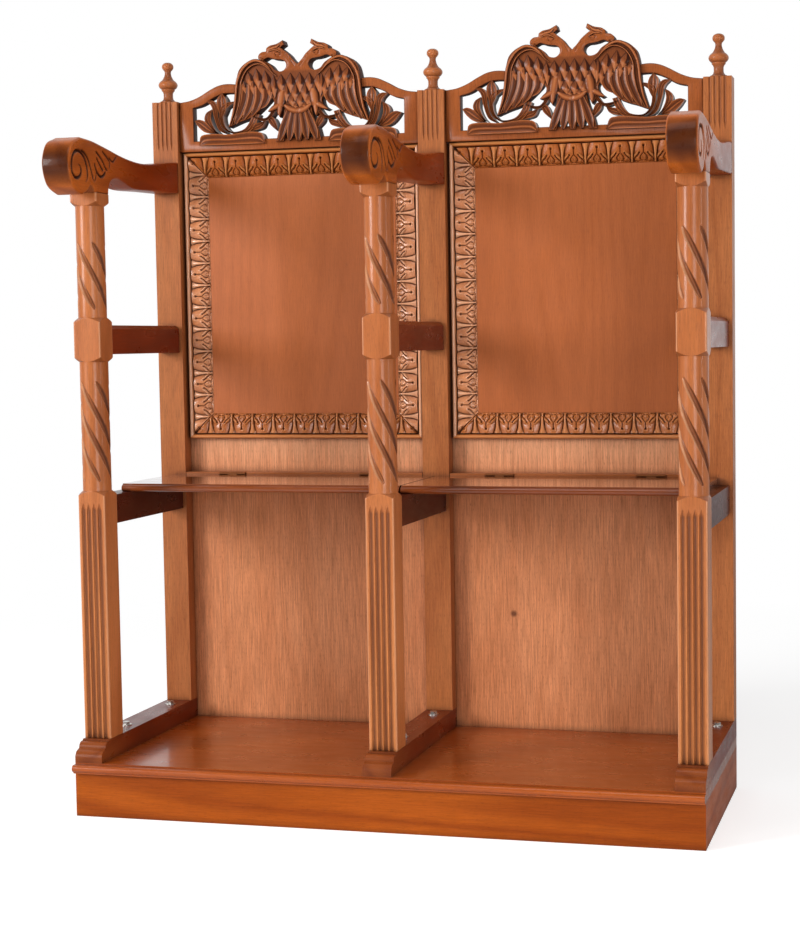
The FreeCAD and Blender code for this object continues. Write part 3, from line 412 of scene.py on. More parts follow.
def makePiece(name, parts, material, replaced, sharp, body="stall"):
    # one object from parts of (points in millimetres, lists of faces, recess value for each point)
    points, loops, counts, recess = [], [], [], []
    start = 0
    for coords, faceSets, carved in parts:
        points.append(coords)
        recess.append(carved)
        for faces in faceSets:
            loops.append(faces.ravel() + start)
            counts.append(np.full(len(faces), faces.shape[1]))
        start += len(coords)
    points, loops, counts = np.concatenate(points), np.concatenate(loops), np.concatenate(counts)
    mesh = bpy.data.meshes.new(name)
    mesh.vertices.add(len(points))
    mesh.vertices.foreach_set("co", (points / 1000).astype(np.float32).ravel())
    mesh.loops.add(len(loops))
    mesh.loops.foreach_set("vertex_index", loops.astype(np.int32))
    mesh.polygons.add(len(counts))
    mesh.polygons.foreach_set("loop_start", np.concatenate([[0], np.cumsum(counts)[:-1]]).astype(np.int32))
    mesh.update(calc_edges=True)
    mesh.polygons.foreach_set("use_smooth", np.ones(len(counts), bool))
    mesh.set_sharp_from_angle(angle=math.radians(sharp))
    attribute = mesh.attributes.new("recess", "FLOAT", "POINT")
    attribute.data.foreach_set("value", np.concatenate(recess).astype(np.float32))
    mesh.materials.append(materials[material])
    piece = bpy.data.objects.new(name, mesh)
    bpy.context.scene.collection.objects.link(piece)
    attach(piece, body)
    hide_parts(*replaced)


def smoothLine(points, count):
    # a Catmull-Rom curve through the points, at even steps along its length
    points = np.array(points, float)
    padded = np.vstack([2 * points[0] - points[1], points, 2 * points[-1] - points[-2]])
    t = np.linspace(0, 1, 12, endpoint=False)[:, None]
    p0, p1, p2, p3 = (padded[k:len(padded) - 3 + k][:, None] for k in range(4))
    line = 0.5 * (2 * p1 + (p2 - p0) * t + (2 * p0 - 5 * p1 + 4 * p2 - p3) * t ** 2
                  + (3 * p1 - p0 - 3 * p2 + p3) * t ** 3)
    line = np.vstack([line.reshape(-1, 2), points[-1:]])
    along = np.concatenate([[0], np.cumsum(np.linalg.norm(np.diff(line, axis=0), axis=1))])
    steps = np.linspace(0, along[-1], count)
    return np.stack([np.interp(steps, along, line[:, k]) for k in (0, 1)], -1)


def lineDistance(places, line):
    # how far each place is from a chain of points, and the share of the chain's length there
    start, run = line[:-1], np.diff(line, axis=0)
    offset = places[:, None] - start[None]
    share = np.clip((offset * run).sum(-1) / (run ** 2).sum(-1), 0, 1)
    away = np.linalg.norm(offset - share[..., None] * run, axis=-1)
    nearest = away.argmin(1)
    rows = np.arange(len(places))
    return away[rows, nearest], (nearest + share[rows, nearest]) / len(run)


def smoothRuns(runs, spacing):
    # a closed outline of runs, one after another; each is smooth in itself and they meet in corners
    made = []
    for run in runs:
        run = np.array(run, float)
        count = max(2, int(np.linalg.norm(np.diff(run, axis=0), axis=1).sum() / spacing) + 1)
        made.append(smoothLine(run, count)[:-1])
    return np.vstack(made)


def inset(loop, distance):
    # a counter-clockwise closed outline moved inwards along its own normals
    run = np.roll(loop, -1, 0) - np.roll(loop, 1, 0)
    normal = np.stack([-run[:, 1], run[:, 0]], -1) / np.linalg.norm(run, axis=1)[:, None]
    return loop + normal * distance


def insideOf(places, loop):
    # a place is inside where a ray from it crosses the closed outline an odd number of times
    x, y = places[:, 0][:, None], places[:, 1][:, None]
    x0, y0 = loop[:, 0][None], loop[:, 1][None]
    x1, y1 = np.roll(x0, -1), np.roll(y0, -1)
    rise = np.where(y1 == y0, 1e-9, y1 - y0)
    crosses = ((y0 > y) != (y1 > y)) & (x < (x1 - x0) * (y - y0) / rise + x0)
    return crosses.sum(1) % 2 == 1


def crossProduct(first, second):
    # over 0 where the second direction lies to the left of the first
    return first[..., 0] * second[..., 1] - first[..., 1] * second[..., 0]


def counterClockwise(loop):
    # turned round if the area that it encloses comes out under 0
    return loop if crossProduct(loop, np.roll(loop, -1, 0)).sum() > 0 else loop[::-1]


def fillLoops(loops, inner):
    # triangles over an outline with holes and the points inside it; the outlines' points stay first
    coords = np.vstack([*loops, inner])
    edges, start = [], 0
    for loop in loops:
        ring = np.arange(len(loop)) + start
        edges += np.stack([ring, np.roll(ring, -1)], -1).tolist()
        start += len(loop)
    made = delaunay_2d_cdt([Vector(p) for p in coords.tolist()], edges, [], 0, 1e-6, False)
    places = np.array([tuple(p) for p in made[0]])
    faces = np.array(made[2])
    middle = places[faces].mean(1)
    keep = insideOf(middle, loops[0])
    for hole in loops[1:]:
        keep &= ~insideOf(middle, hole)
    faces = faces[keep]
    a, b, c = (places[faces[:, k]] for k in range(3))
    down = crossProduct(b - a, c - a) < 0
    faces[down] = faces[down][:, ::-1]
    return places, faces


def latticePoints(loop, spacing, clear):
    # an even triangular lattice inside an outline, kept clear of its edge
    low, high = loop.min(0), loop.max(0)
    rows = np.arange(low[1], high[1], spacing * 0.866)
    columns = np.arange(low[0], high[0], spacing)
    x, y = np.meshgrid(columns, rows)
    x = x + (np.arange(len(rows)) % 2)[:, None] * spacing / 2
    places = np.stack([x.ravel(), y.ravel()], -1)
    places = places[insideOf(places, loop)]
    away, _ = lineDistance(places, np.vstack([loop, loop[:1]]))
    return places[away > clear]


def gougeDepth(places, strokes):
    # V-shaped cuts along smooth lines: as deep as the stroke's middle is near, thin at both ends
    depth = np.zeros(len(places))
    for stroke in strokes:
        away, share = lineDistance(places, smoothLine(stroke["line"], 60))
        swell = unit(np.minimum(share, 1 - share) * 9 + 0.25)
        cut = stroke["deep"] * swell * unit(1 - away / (stroke["wide"] * swell)) ** 0.8
        depth = np.maximum(depth, cut)
    return depth


# front posts

postShape = {
    "half": 28.5, "column": 28.0, "corner": 24.0, "axisY": -134.5, "foot": 147.0, "top": 1227.0,
    "ease": 0.7, "columns": ((632.0, 906.0), (974.0, 1211.0)), "rise": 9.4,
    "spirals": ((660.0, 858.0), (1000.0, 1131.0)), "spiralCount": 5, "pitch": 321.0, "spiralWidth": 6.2,
    "spiralDepth": 6.2, "startTurn": {"left": 33.0, "centre": 14.0, "right": 37.0},
    "flutes": (-17.1, -5.7, 5.7, 17.1), "fluteRadius": 4.4, "fluteDepth": 0.85, "fluteTop": 620.0,
    "fluteTaper": 16.0, "fluteShadeDepth": 3.7, "frontSteps": 98, "aroundSteps": 100, "levelStep": 2.4,
    # painted shade (over 0) and painted highlight (under 0): for each lip the amount, and the middle and
    # width of its band across a spiral flute, shading the right-hand lip and lighting the left-hand lip;
    # the spiral and straight flutes get painted shade inside, and the square's corners wear with a painted
    # highlight
    "lips": ((1.0, 0.80, 0.22), (-1.3, -0.90, 0.20)), "spiralShade": 0.34, "fluteShade": 0.62,
    "cornerWearAndHighlight": 0.75, "cornerWidth": 2.6,
}


def postRadius(z, shape):
    # the turned outline: columns between cones that run out to the square's corners
    wide = shape["half"] * 1.6
    slope = (wide - shape["column"]) / (shape["half"] * math.sqrt(2) - shape["column"]) * shape["rise"]
    levels, radii = [0.0], [wide]
    for low, high in shape["columns"]:
        levels += [low + shape["rise"] - slope, low + shape["rise"], high - shape["rise"],
                   high - shape["rise"] + slope]
        radii += [wide, shape["column"], shape["column"], wide]
    return np.interp(z, levels, radii)


def spiralDepth(z, turn, start, shape):
    # how deep the flutes are: round-bottomed, sinking down to the right, narrower and shallower at their
    # ends; and the painted shade on their right-hand lips and the painted highlight on their left-hand lips
    depth = np.zeros(np.broadcast(z, turn).shape)
    shade = np.zeros_like(depth)
    apart = 2 * math.pi / shape["spiralCount"]
    for low, high in shape["spirals"]:
        run = np.clip((high - z) / (high - low), -0.2, 1.2)
        swell = np.sqrt(unit(1 - np.abs(2 * run - 1) ** 7))
        centre = math.radians(-90 + start) + 2 * math.pi * (high - z) / shape["pitch"]
        aside = ((turn - centre + apart / 2) % apart - apart / 2) * shape["column"]
        across = aside / (shape["spiralWidth"] * np.maximum(swell, 0.02))
        depth = np.maximum(depth, shape["spiralDepth"] * swell * unit(1 - across ** 2) ** 0.62)
        for amount, middle, width in shape["lips"]:
            shade += amount * bell(across, middle, width) * (swell > 0.05)
    return depth, shade


def frontPost(side, shape):
    # radius by turn and height: the square or the turned outline, whichever is less, minus the spiral
    # flutes; the straight flutes are then sunk into the front along Y
    half, rise = shape["half"], shape["rise"]
    front = np.arctan2(-half, np.linspace(-half, half, shape["frontSteps"])[1:-1])
    rest = np.linspace(math.radians(-45), math.radians(225), shape["aroundSteps"])
    turn = np.concatenate([front, rest])[None]
    fluteTop = shape["fluteTop"]
    levels = [[shape["foot"], shape["foot"] + 2, fluteTop - 20],
              np.linspace(fluteTop - 17, fluteTop + 11, 15)]
    for low, high in shape["columns"]:
        levels += [np.linspace(low, low + rise + 1, 12),
                   np.linspace(low + rise + 3, high - rise - 3, int((high - low) / shape["levelStep"])),
                   np.linspace(high - rise - 1, high, 12)]
    levels += [[shape["top"] - 1.2, shape["top"]]]
    z = np.concatenate(levels)[:, None]
    power = shape["corner"]
    square = half * (np.abs(np.cos(turn)) ** power + np.abs(np.sin(turn)) ** power) ** (-1 / power)
    outline = postRadius(z, shape)
    spirals, lips = spiralDepth(z, turn, shape["startTurn"][side], shape)
    end = np.where((z < shape["foot"] + 1) | (z > shape["top"] - 1), shape["ease"], 0.0)
    radius = np.minimum(square, outline) - spirals - end
    x, y = radius * np.cos(turn), radius * np.sin(turn)
    taper = unit((fluteTop - z) / shape["fluteTaper"])
    wide = shape["fluteRadius"] * np.maximum(taper, 1e-3)
    flutes = np.zeros_like(radius)
    for offset in shape["flutes"]:
        groove = np.sqrt(unit(1 - ((x - offset) / wide) ** 2)) * wide * shape["fluteDepth"]
        flutes = np.maximum(flutes, groove * (np.sin(turn) < -0.7) * (taper > 0))
    fromCorner = (np.degrees(turn) + 90) % 90 - 45
    # painted shade inside the spiral and straight flutes and on the spirals' right-hand lips, painted
    # highlight on their left-hand lips, and wear with a painted highlight along the square's corners
    recess = (shape["spiralShade"] * unit(spirals / shape["spiralDepth"]) ** 2 + lips
              + shape["fluteShade"] * unit(flutes / shape["fluteShadeDepth"]) ** 4
              - shape["cornerWearAndHighlight"] * bell(fromCorner, 0, shape["cornerWidth"]) * (square <= outline))
    points = np.stack([x + lineX[side], y + flutes + shape["axisY"], np.broadcast_to(z, x.shape)], -1)
    makePiece("frontPost_" + side, [(points.reshape(-1, 3), tubeFaces(*x.shape), recess.ravel())],
              "postWood",
              ["front_post_" + side], 34)


for side in lineX:
    frontPost(side, postShape)
print("front posts")


# finials

finialShape = {
    "axisY": 252.0, "foot": 1450.0, "around": 56,
    # radius and height
    "outline": ((0, 0), (17.6, 0), (18, 0.4), (18, 2.7), (17.4, 3.2), (14, 4.4), (11, 8), (10, 12),
                (10, 20), (11.5, 24), (14, 26.5), (14.3, 28), (13.8, 29.2), (15, 30), (18, 32.5), (20, 36),
                (20.5, 38.5), (20, 41), (18, 44.5), (15.4, 47), (13, 48.6), (10.5, 52), (8, 57), (6.7, 62),
                (6.5, 66), (7.5, 69), (10, 71.5), (12, 74.5), (12.5, 78), (11.8, 81.5), (9.5, 84.5),
                (5.5, 86.5), (0, 87)),
    # height and painted shade, which darkens the narrow necks
    "stainAndShade": ((2, 0), (5, 0.5), (12, 0.3), (20, 0.3), (26, 0), (46, 0), (50, 0.4), (62, 0.5), (66, 0.4),
              (72, 0)),
}


def finial(side, shape):
    # an outline of radius and height, turned about the upright axis and closed by a point at each end
    outline = np.array(shape["outline"], float)
    radius, height = outline[1:-1, :1], outline[1:-1, 1:]
    turn = np.linspace(0, 2 * math.pi, shape["around"], endpoint=False)
    body = np.stack([radius * np.cos(turn), radius * np.sin(turn), height + 0 * turn], -1)
    ends = [[0, 0, outline[0, 1]], [0, 0, outline[-1, 1]]]
    points = np.vstack([body.reshape(-1, 3), ends]) + [lineX[side], shape["axisY"], shape["foot"]]
    rows, columns = body.shape[:2]
    around = np.arange(columns)
    after = np.roll(around, -1)
    last, total = (rows - 1) * columns, rows * columns
    low = np.stack([after, around, np.full(columns, total)], -1)
    high = np.stack([around + last, after + last, np.full(columns, total + 1)], -1)
    stainAndShade = np.interp(height[:, 0], *np.transpose(shape["stainAndShade"]))
    makePiece("finial" + side.capitalize(),
              [(points, [tubeFaces(rows, columns)[0], low, high],
                np.concatenate([np.repeat(stainAndShade, columns), [0, 0]]))],
              "postWood", ["finial_" + side], 50)


for side in lineX:
    finial(side, finialShape)
print("finials")


# scroll arms

armShape = {
    "half": 28.5, "ease": 5.0, "easeSteps": 5, "outlineStep": 3.2,
    # spacing and distance from the edge of the points on a side face: fine on the carving, coarse behind it
    "fine": (1.7, 1.2), "fineTo": -40.0, "coarse": (9.0, 5.0), "coarseFrom": -34.0,
    "edgeDepth": 1.2, "shadeDepth": 2.2,
    "outline": {"scroll": ((-220, 1328), (-258, 1312.5), (-274, 1274), (-258, 1235.5), (-220, 1220),
                           (-206, 1223), (-192, 1229.5), (-184, 1238), (-179, 1244)),
                "throat": ((-179, 1244), (-172, 1238), (-163, 1227)),
                "neck": ((-163, 1227), (-106, 1227)),
                "under": ((-106, 1227), (-103, 1240), (-94, 1252), (-78, 1259), (-56, 1261), (-26, 1255),
                          (6, 1248), (42, 1247), (86, 1249), (134, 1251), (230, 1254)),
                "rear": ((230, 1254), (230, 1320)),
                "top": ((230, 1320), (191, 1316), (138, 1309), (94, 1304), (46, 1302), (-3, 1304),
                        (-51, 1309), (-90, 1315), (-132, 1321), (-173, 1326), (-220, 1328))},
    "strokes": (
        {"line": ((-234, 1276), (-226, 1273), (-221, 1265), (-224, 1256), (-234, 1250), (-247, 1250),
                  (-257, 1258), (-260, 1270), (-257, 1284), (-249, 1295), (-236, 1301), (-221, 1299),
                  (-207, 1290), (-198, 1276), (-195, 1262), (-196, 1252), (-203, 1243)),
         "wide": 4.2, "deep": 4.0},
        {"line": ((-222, 1304), (-205, 1299), (-190, 1287), (-181, 1272), (-174, 1258), (-168, 1247)),
         "wide": 3.8, "deep": 3.4},
        {"line": ((-166, 1247), (-160, 1256), (-157, 1266), (-158, 1274)), "wide": 3.0, "deep": 2.4},
        {"line": ((-166, 1286), (-160, 1274), (-150, 1264), (-137, 1259), (-124, 1264), (-116, 1273)),
         "wide": 3.8, "deep": 3.6},
        {"line": ((-160, 1308), (-144, 1300), (-129, 1290), (-117, 1278), (-107, 1273)),
         "wide": 3.4, "deep": 3.2},
        {"line": ((-157, 1296), (-146, 1286), (-134, 1276), (-126, 1270)), "wide": 3.6, "deep": 3.2},
        {"line": ((-132, 1311), (-118, 1304), (-104, 1296), (-98, 1288), (-102, 1277)),
         "wide": 3.2, "deep": 3.0},
        {"line": ((-104, 1302), (-96, 1297), (-84, 1293), (-75, 1299), (-66, 1306), (-54, 1309)),
         "wide": 2.6, "deep": 3.0},
    ),
}


def scrollArm(side, shape):
    # the side outline is carried across the arm; near both side faces it shrinks along a quarter circle,
    # and the gouges are sunk into both faces
    loop = smoothRuns(shape["outline"].values(), shape["outlineStep"])
    quarter = np.linspace(0, math.pi / 2, shape["easeSteps"])
    rings = [(inset(loop, shape["ease"] * (1 - math.cos(angle))),
              shape["half"] - shape["ease"] * (1 - math.sin(angle))) for angle in quarter]
    face = rings[-1][0]
    fine = latticePoints(face, *shape["fine"])
    coarse = latticePoints(face, *shape["coarse"])
    inner = [fine[fine[:, 0] < shape["fineTo"]], coarse[coarse[:, 0] > shape["coarseFrom"]]]
    places, faces = fillLoops([face], np.vstack(inner))
    depth = gougeDepth(places, shape["strokes"])
    depth[:len(face)] = np.minimum(depth[:len(face)], shape["edgeDepth"])

    def layer(across, sideways):
        # places in the side view at a distance to the right of the arm's middle
        return np.stack([np.full(len(sideways), lineX[side]) + across, *sideways.T], -1)

    # the band runs from the right-hand face's edge over the rings to the left-hand face's edge
    between = [(1, *ring) for ring in rings[-2::-1]] + [(-1, *ring) for ring in rings[:-1]]
    coords = [layer(shape["half"] - depth, places), layer(depth - shape["half"], places)]
    coords += [layer(hand * across, ring) for hand, ring, across in between]
    # the gouges are darkened by their depth: painted shade
    stainAndShade = unit(depth / shape["shadeDepth"])
    recess = np.concatenate([stainAndShade, stainAndShade, np.zeros(len(between) * len(loop))])
    total = len(places)
    starts = [0, *(2 * total + k * len(loop) for k in range(len(between))), total]
    rows = np.arange(len(loop)) + np.array(starts)[:, None]
    rows = np.hstack([rows, rows[:, :1]])
    band = np.stack([rows[:-1, :-1], rows[1:, :-1], rows[1:, 1:], rows[:-1, 1:]], -1).reshape(-1, 4)
    makePiece("scrollArm_" + side, [(np.vstack(coords), [faces, faces[:, ::-1] + total, band], recess)],
              "armWood", ["arm_" + side], 40)


for side in lineX:
    scrollArm(side, armShape)
print("scroll arms")


# carved panel frames

frameShape = {
    "outer": (531.5, 619.0), "bottom": 723.0, "backY": 264.0, "pitch": 48.2,
    # forward of the panel against distance in from the outer edge
    "section": ((0, 0), (0, 11.0), (0.6, 14.0), (2.2, 16.8), (4.6, 18), (7.0, 16.9), (8.8, 14.4),
                (9.5, 12.0), (9.8, 9.2), (10.5, 7.6), (11.3, 7.4)),
    "inner": ((53.8, 8.2), (54.6, 7.6), (55, 6.8), (55, 0)),
    "band": (12.0, 53.4), "bandSteps": 40, "motifSteps": 54,
    # the leaves' end at a mitre, the plain wood there, and the width and depth of the mitre's line
    "calm": 6.0, "plain": (8.0, 6.0), "mitre": (1.0, 2.6),
    # the hollow beside the bead gets painted shade, and the bead wear with a painted highlight
    "hollow": (9.6, 11.6), "hollowShade": 0.9, "bead": (1.0, 8.6), "beadWearAndHighlight": 1.0,
    # the members take lit and shaded copies of one wood: painted light and shade
    "woods": {"bottom": "frameBottomHalfShadedWood", "left": "frameSideLitWood", "top": "frameTopShadedWood", "right": "frameSideLitWood"},
}
# one leaf of the band: from its middle line outwards, and from the frame's outer side inwards
leafShape = {
    "depth": 40.0, "base": (4.2, 3.6), "dome": (10.4, 7.0), "domeHalf": 23.5, "tongue": 6.6,
    "tongueHalf": (8.4, 5.8), "limits": (4.4, 17.9), "cutShade": 0.62, "flankShade": 0.42,
    "cuts": (
        {"line": ((15.4, -3), (16.6, 3), (18.9, 10), (20.4, 19), (21.2, 29), (21.8, 41)),
         "wide": 1.2, "deep": 3.0},
        {"line": ((0, 9), (0.3, 15), (0, 22)), "wide": 1.3, "deep": 3.0},
        {"line": ((0, 21), (2.8, 24.5), (6.6, 29), (7.6, 33), (4.6, 36.2), (0, 37.6)),
         "wide": 1.3, "deep": 3.0},
        {"line": ((9.2, 22.4), (12.2, 26.6), (16.0, 29.6), (19.4, 33.0), (21.4, 38)), "wide": 1.3,
         "deep": 3.4},
        {"line": ((4, 39.6), (8, 37.4), (12, 39.2), (16, 37.4), (21.5, 40)), "wide": 1.4, "deep": 2.6},
    ),
    "ridges": (
        {"line": ((6.6, 19.4), (11.4, 21.6), (15.4, 25.6), (19.0, 29.0), (21.6, 34.0)),
         "wide": 3.2, "deep": 3.8},
        {"line": ((4.8, 11.5), (4.6, 5.4), (0, 3.6)), "wide": 2.0, "deep": 1.4},
        {"line": ((2.0, 31), (3.4, 31.5)), "wide": 4.4, "deep": 2.4},
        {"line": ((12, 31.5), (14.5, 34.0)), "wide": 3.6, "deep": 2.0},
    ),
    # across, inwards, radius and depth
    "holes": ((0.0, 8.8, 1.9, 5.6), (9.0, 22.0, 1.6, 4.6), (6.9, 33.0, 1.4, 3.4)),
}


def leafBand(along, across, pitch, shape):
    # height of the carved band: a steep dome for each leaf and a tongue that narrows inwards between
    # two leaves, cuts and holes taken away and ridges added; along is measured from a leaf's middle,
    # across runs from 0 to 1 inwards
    x = np.abs(((along / pitch + 0.5) % 1 - 0.5) * pitch)
    y = across * shape["depth"]
    low, swell = shape["base"]
    base = low + swell * np.sin(np.pi * unit(across * 0.84 + 0.08)) ** 0.8
    steep, lean = shape["dome"]
    dome = (steep - lean * across) * np.cos(unit(x / shape["domeHalf"]) * np.pi / 2) ** 0.75
    reach, shrink = shape["tongueHalf"]
    reach = reach - shrink * unit(across) ** 0.5
    tongue = shape["tongue"] * np.sqrt(unit(1 - ((pitch / 2 - x) / reach) ** 2))
    places = np.stack([x.ravel(), y.ravel()], -1)
    cuts = gougeDepth(places, shape["cuts"]).reshape(x.shape)
    ridges = gougeDepth(places, shape["ridges"]).reshape(x.shape)
    for holeX, holeY, radius, deep in shape["holes"]:
        cuts = np.maximum(cuts, deep * np.exp(-(np.hypot(x - holeX, y - holeY) / radius) ** 4))
    height = base + np.maximum(dome, tongue) + ridges - cuts
    # painted shade on the leaves' flanks and in the deep cuts, painted highlight on the ridges and tongues,
    # and a small even lift over the band
    flank = shape["flankShade"] * unit((x - 7) / 12) ** 1.5 * (tongue < 0.5) * (y < 24)
    stainAndShade = shape["cutShade"] * unit((cuts - 0.9) / 2.4) ** 1.6 + flank
    ridgeHighlight = unit(ridges / 3.0 + tongue / 6) * (cuts < 0.6) + 0.1
    return np.clip(height, *shape["limits"]), np.clip(stainAndShade - ridgeHighlight, -0.9, 1)


def frameMember(bay, place, shape):
    # the moulding's section carried along a side of the frame, mitred at both ends
    wide, high = shape["outer"]
    length = wide if place in ("bottom", "top") else high
    outer, inner = np.array(shape["section"], float), np.array(shape["inner"], float)
    band = np.linspace(*shape["band"], shape["bandSteps"])
    across = np.concatenate([outer[:, 0], band, inner[:, 0]])
    forward = np.concatenate([outer[:, 1], 0 * band, inner[:, 1]])
    motifs = round(length / shape["pitch"])
    pitch = length / motifs
    run = np.linspace(-0.5, 0.5, motifs * shape["motifSteps"] + 1)[:, None]
    along = run * (length - 2 * across[None])
    heights = np.broadcast_to(forward, along.shape).copy()
    recess = np.zeros_like(heights)
    carved = slice(len(outer), len(outer) + len(band))
    inwards = np.linspace(0, 1, shape["bandSteps"])
    phase = 0.0 if motifs % 2 else pitch / 2
    carvedRun = along[:, carved]
    leaf, stainAndShade = leafBand(carvedRun + phase, np.broadcast_to(inwards, carvedRun.shape), pitch, leafShape)
    # the leaves run out into plain wood beside the mitre, which is a crisp line
    toMitre = length / 2 - np.abs(carvedRun) - band
    calm = unit(1 - toMitre / shape["calm"])
    calm = calm * calm * (3 - 2 * calm)
    low, swell = shape["plain"]
    plain = low + swell * np.sin(inwards * np.pi) ** 0.8
    lineWidth, lineDepth = shape["mitre"]
    line = bell(toMitre, 0, lineWidth)
    heights[:, carved] = leaf * (1 - calm) + plain * calm - lineDepth * line
    recess[:, carved] = stainAndShade * (1 - calm) + 0.9 * line
    # painted shade in the hollow, wear with a painted highlight on the bead
    for (start, stop), amount in ((shape["hollow"], shape["hollowShade"]),
                                  (shape["bead"], -shape["beadWearAndHighlight"])):
        recess[:, (across > start) & (across < stop)] = amount
    depth = np.broadcast_to(across, along.shape)
    x, z = {"bottom": (along, depth), "top": (-along, high - depth),
            "left": (depth - wide / 2, high / 2 - along),
            "right": (wide / 2 - depth, high / 2 + along)}[place]
    points = np.stack([x + bayX[bay], shape["backY"] - heights, z + shape["bottom"]], -1).reshape(-1, 3)
    faceSets = [faces[:, ::-1] for faces in tubeFaces(*along.shape)]
    makePiece(f"panelFrame_{bay}_{place}", [(points, faceSets, recess.ravel())], shape["woods"][place],
              [f"panel_frame_{bay}_{place}"], 60)


for bay in bayX:
    for place in frameShape["woods"]:
        frameMember(bay, place, frameShape)
print("panel frames")


# crests: a pierced board with a two-headed eagle and leaf scrolls

# outlines are in thousandths: across from the bay's middle by its half width, up by the crest's height
crestShape = {
    "across": 0.26975, "up": 0.108, "lower": 1342.0, "boardY": 241.0, "leafY": 237.5, "eagleY": 234.5,
    # the eagle's back is the outermost, so that no two backs lie in one plane
    "eagleBack": 263.0, "boardBack": 262.6, "leafBack": 262.2,
    "rail": 23.0, "eagleAside": {"left": 5.0, "right": 1.5}, "outlineStep": 2.2, "shortest": 0.4,
    "eagleEase": 1.3, "eagleLattice": 1.9, "foliageEase": 2.2, "archTopSteps": 44, "archUnderSteps": 34,
    "eagle": (
        ((0, 1630), (37, 1722), (70, 1824), (119, 1926), (141, 1963)), ((141, 1963), (108, 2019)),
        ((108, 2019), (119, 2102)), ((119, 2102), (171, 2037), (226, 2009), (256, 1963)),
        ((256, 1963), (260, 1898)), ((260, 1898), (297, 1889), (323, 1833), (326, 1769)),
        ((326, 1769), (304, 1722)), ((304, 1722), (345, 1750)),
        ((345, 1750), (389, 1741), (434, 1694), (475, 1611), (500, 1509), (519, 1287), (530, 954),
         (549, 759), (589, 454)),
        ((589, 454), (493, 546), (430, 593), (374, 648)), ((374, 648), (304, 796), (241, 944), (222, 1019)),
        ((222, 1019), (200, 926), (215, 806), (252, 741)), ((252, 741), (222, 713), (185, 787)),
        ((185, 787), (174, 685), (152, 602)), ((152, 602), (137, 704), (126, 833)),
        ((126, 833), (108, 833)), ((108, 833), (126, 611), (159, 407), (189, 139)),
        ((189, 139), (126, 139)), ((126, 139), (104, 352)), ((104, 352), (74, 139)), ((74, 139), (44, 352)),
        ((44, 352), (19, 139)), ((19, 139), (0, 139))),
    "neckLoop": (((285, 1731), (245, 1778), (204, 1750), (163, 1731), (126, 1722), (100, 1676), (93, 1602),
                  (111, 1528), (145, 1500), (189, 1537), (226, 1639), (285, 1731)),),
    "archTop": ((982, 991), (905, 1019), (823, 1093), (741, 1204), (664, 1287), (582, 1315), (467, 1287)),
    "archUnder": ((467, 1111), (586, 1130), (649, 1102), (712, 1037), (775, 944), (823, 898), (879, 870)),
    "leafSteps": 20, "longLeafSteps": 34, "longLeaves": ("ground", "scroll"),
    # both edges of each leaf, from its tip to its root
    "leaves": {
        "ground": (((823, 120), (812, 287), (764, 333), (667, 333), (589, 315), (512, 324), (393, 352),
                    (330, 343), (289, 306), (263, 120)),
                    ((823, 120), (700, 119), (540, 119), (380, 119), (263, 120))),
        "outer": (((860, 611), (816, 630), (760, 565), (678, 343)),
                  ((860, 611), (819, 472), (764, 370), (678, 343))),
        "second": (((712, 824), (756, 750), (771, 620), (730, 463), (645, 324)),
                   ((712, 824), (719, 630), (690, 444), (645, 324))),
        "hooked": (((753, 991), (701, 991), (664, 889), (656, 667), (630, 463), (571, 306)),
                   ((753, 991), (708, 870), (690, 667), (649, 407), (571, 306))),
        "bud": (((623, 1130), (660, 1019), (660, 880), (630, 611)),
                ((623, 1130), (589, 1000), (586, 833), (630, 611))),
        "scroll": (((512, 963), (586, 935), (634, 824), (641, 611), (601, 407), (500, 306), (397, 352),
                    (341, 500), (311, 685)),
                   ((512, 963), (575, 852), (612, 750), (604, 519), (549, 370), (452, 389), (400, 500),
                    (356, 713))),
        "low": (((260, 556), (304, 519), (352, 491), (415, 352)),
                ((260, 556), (289, 426), (341, 380), (415, 352))),
        "stem": (((167, 778), (200, 639), (248, 556), (297, 556), (363, 648)),
                 ((185, 815), (215, 694), (248, 611), (297, 611), (363, 648))),
        "tail": (((230, 611), (226, 519), (204, 444), (152, 333)),
                 ((230, 611), (193, 611), (167, 500), (152, 333))),
    },
}
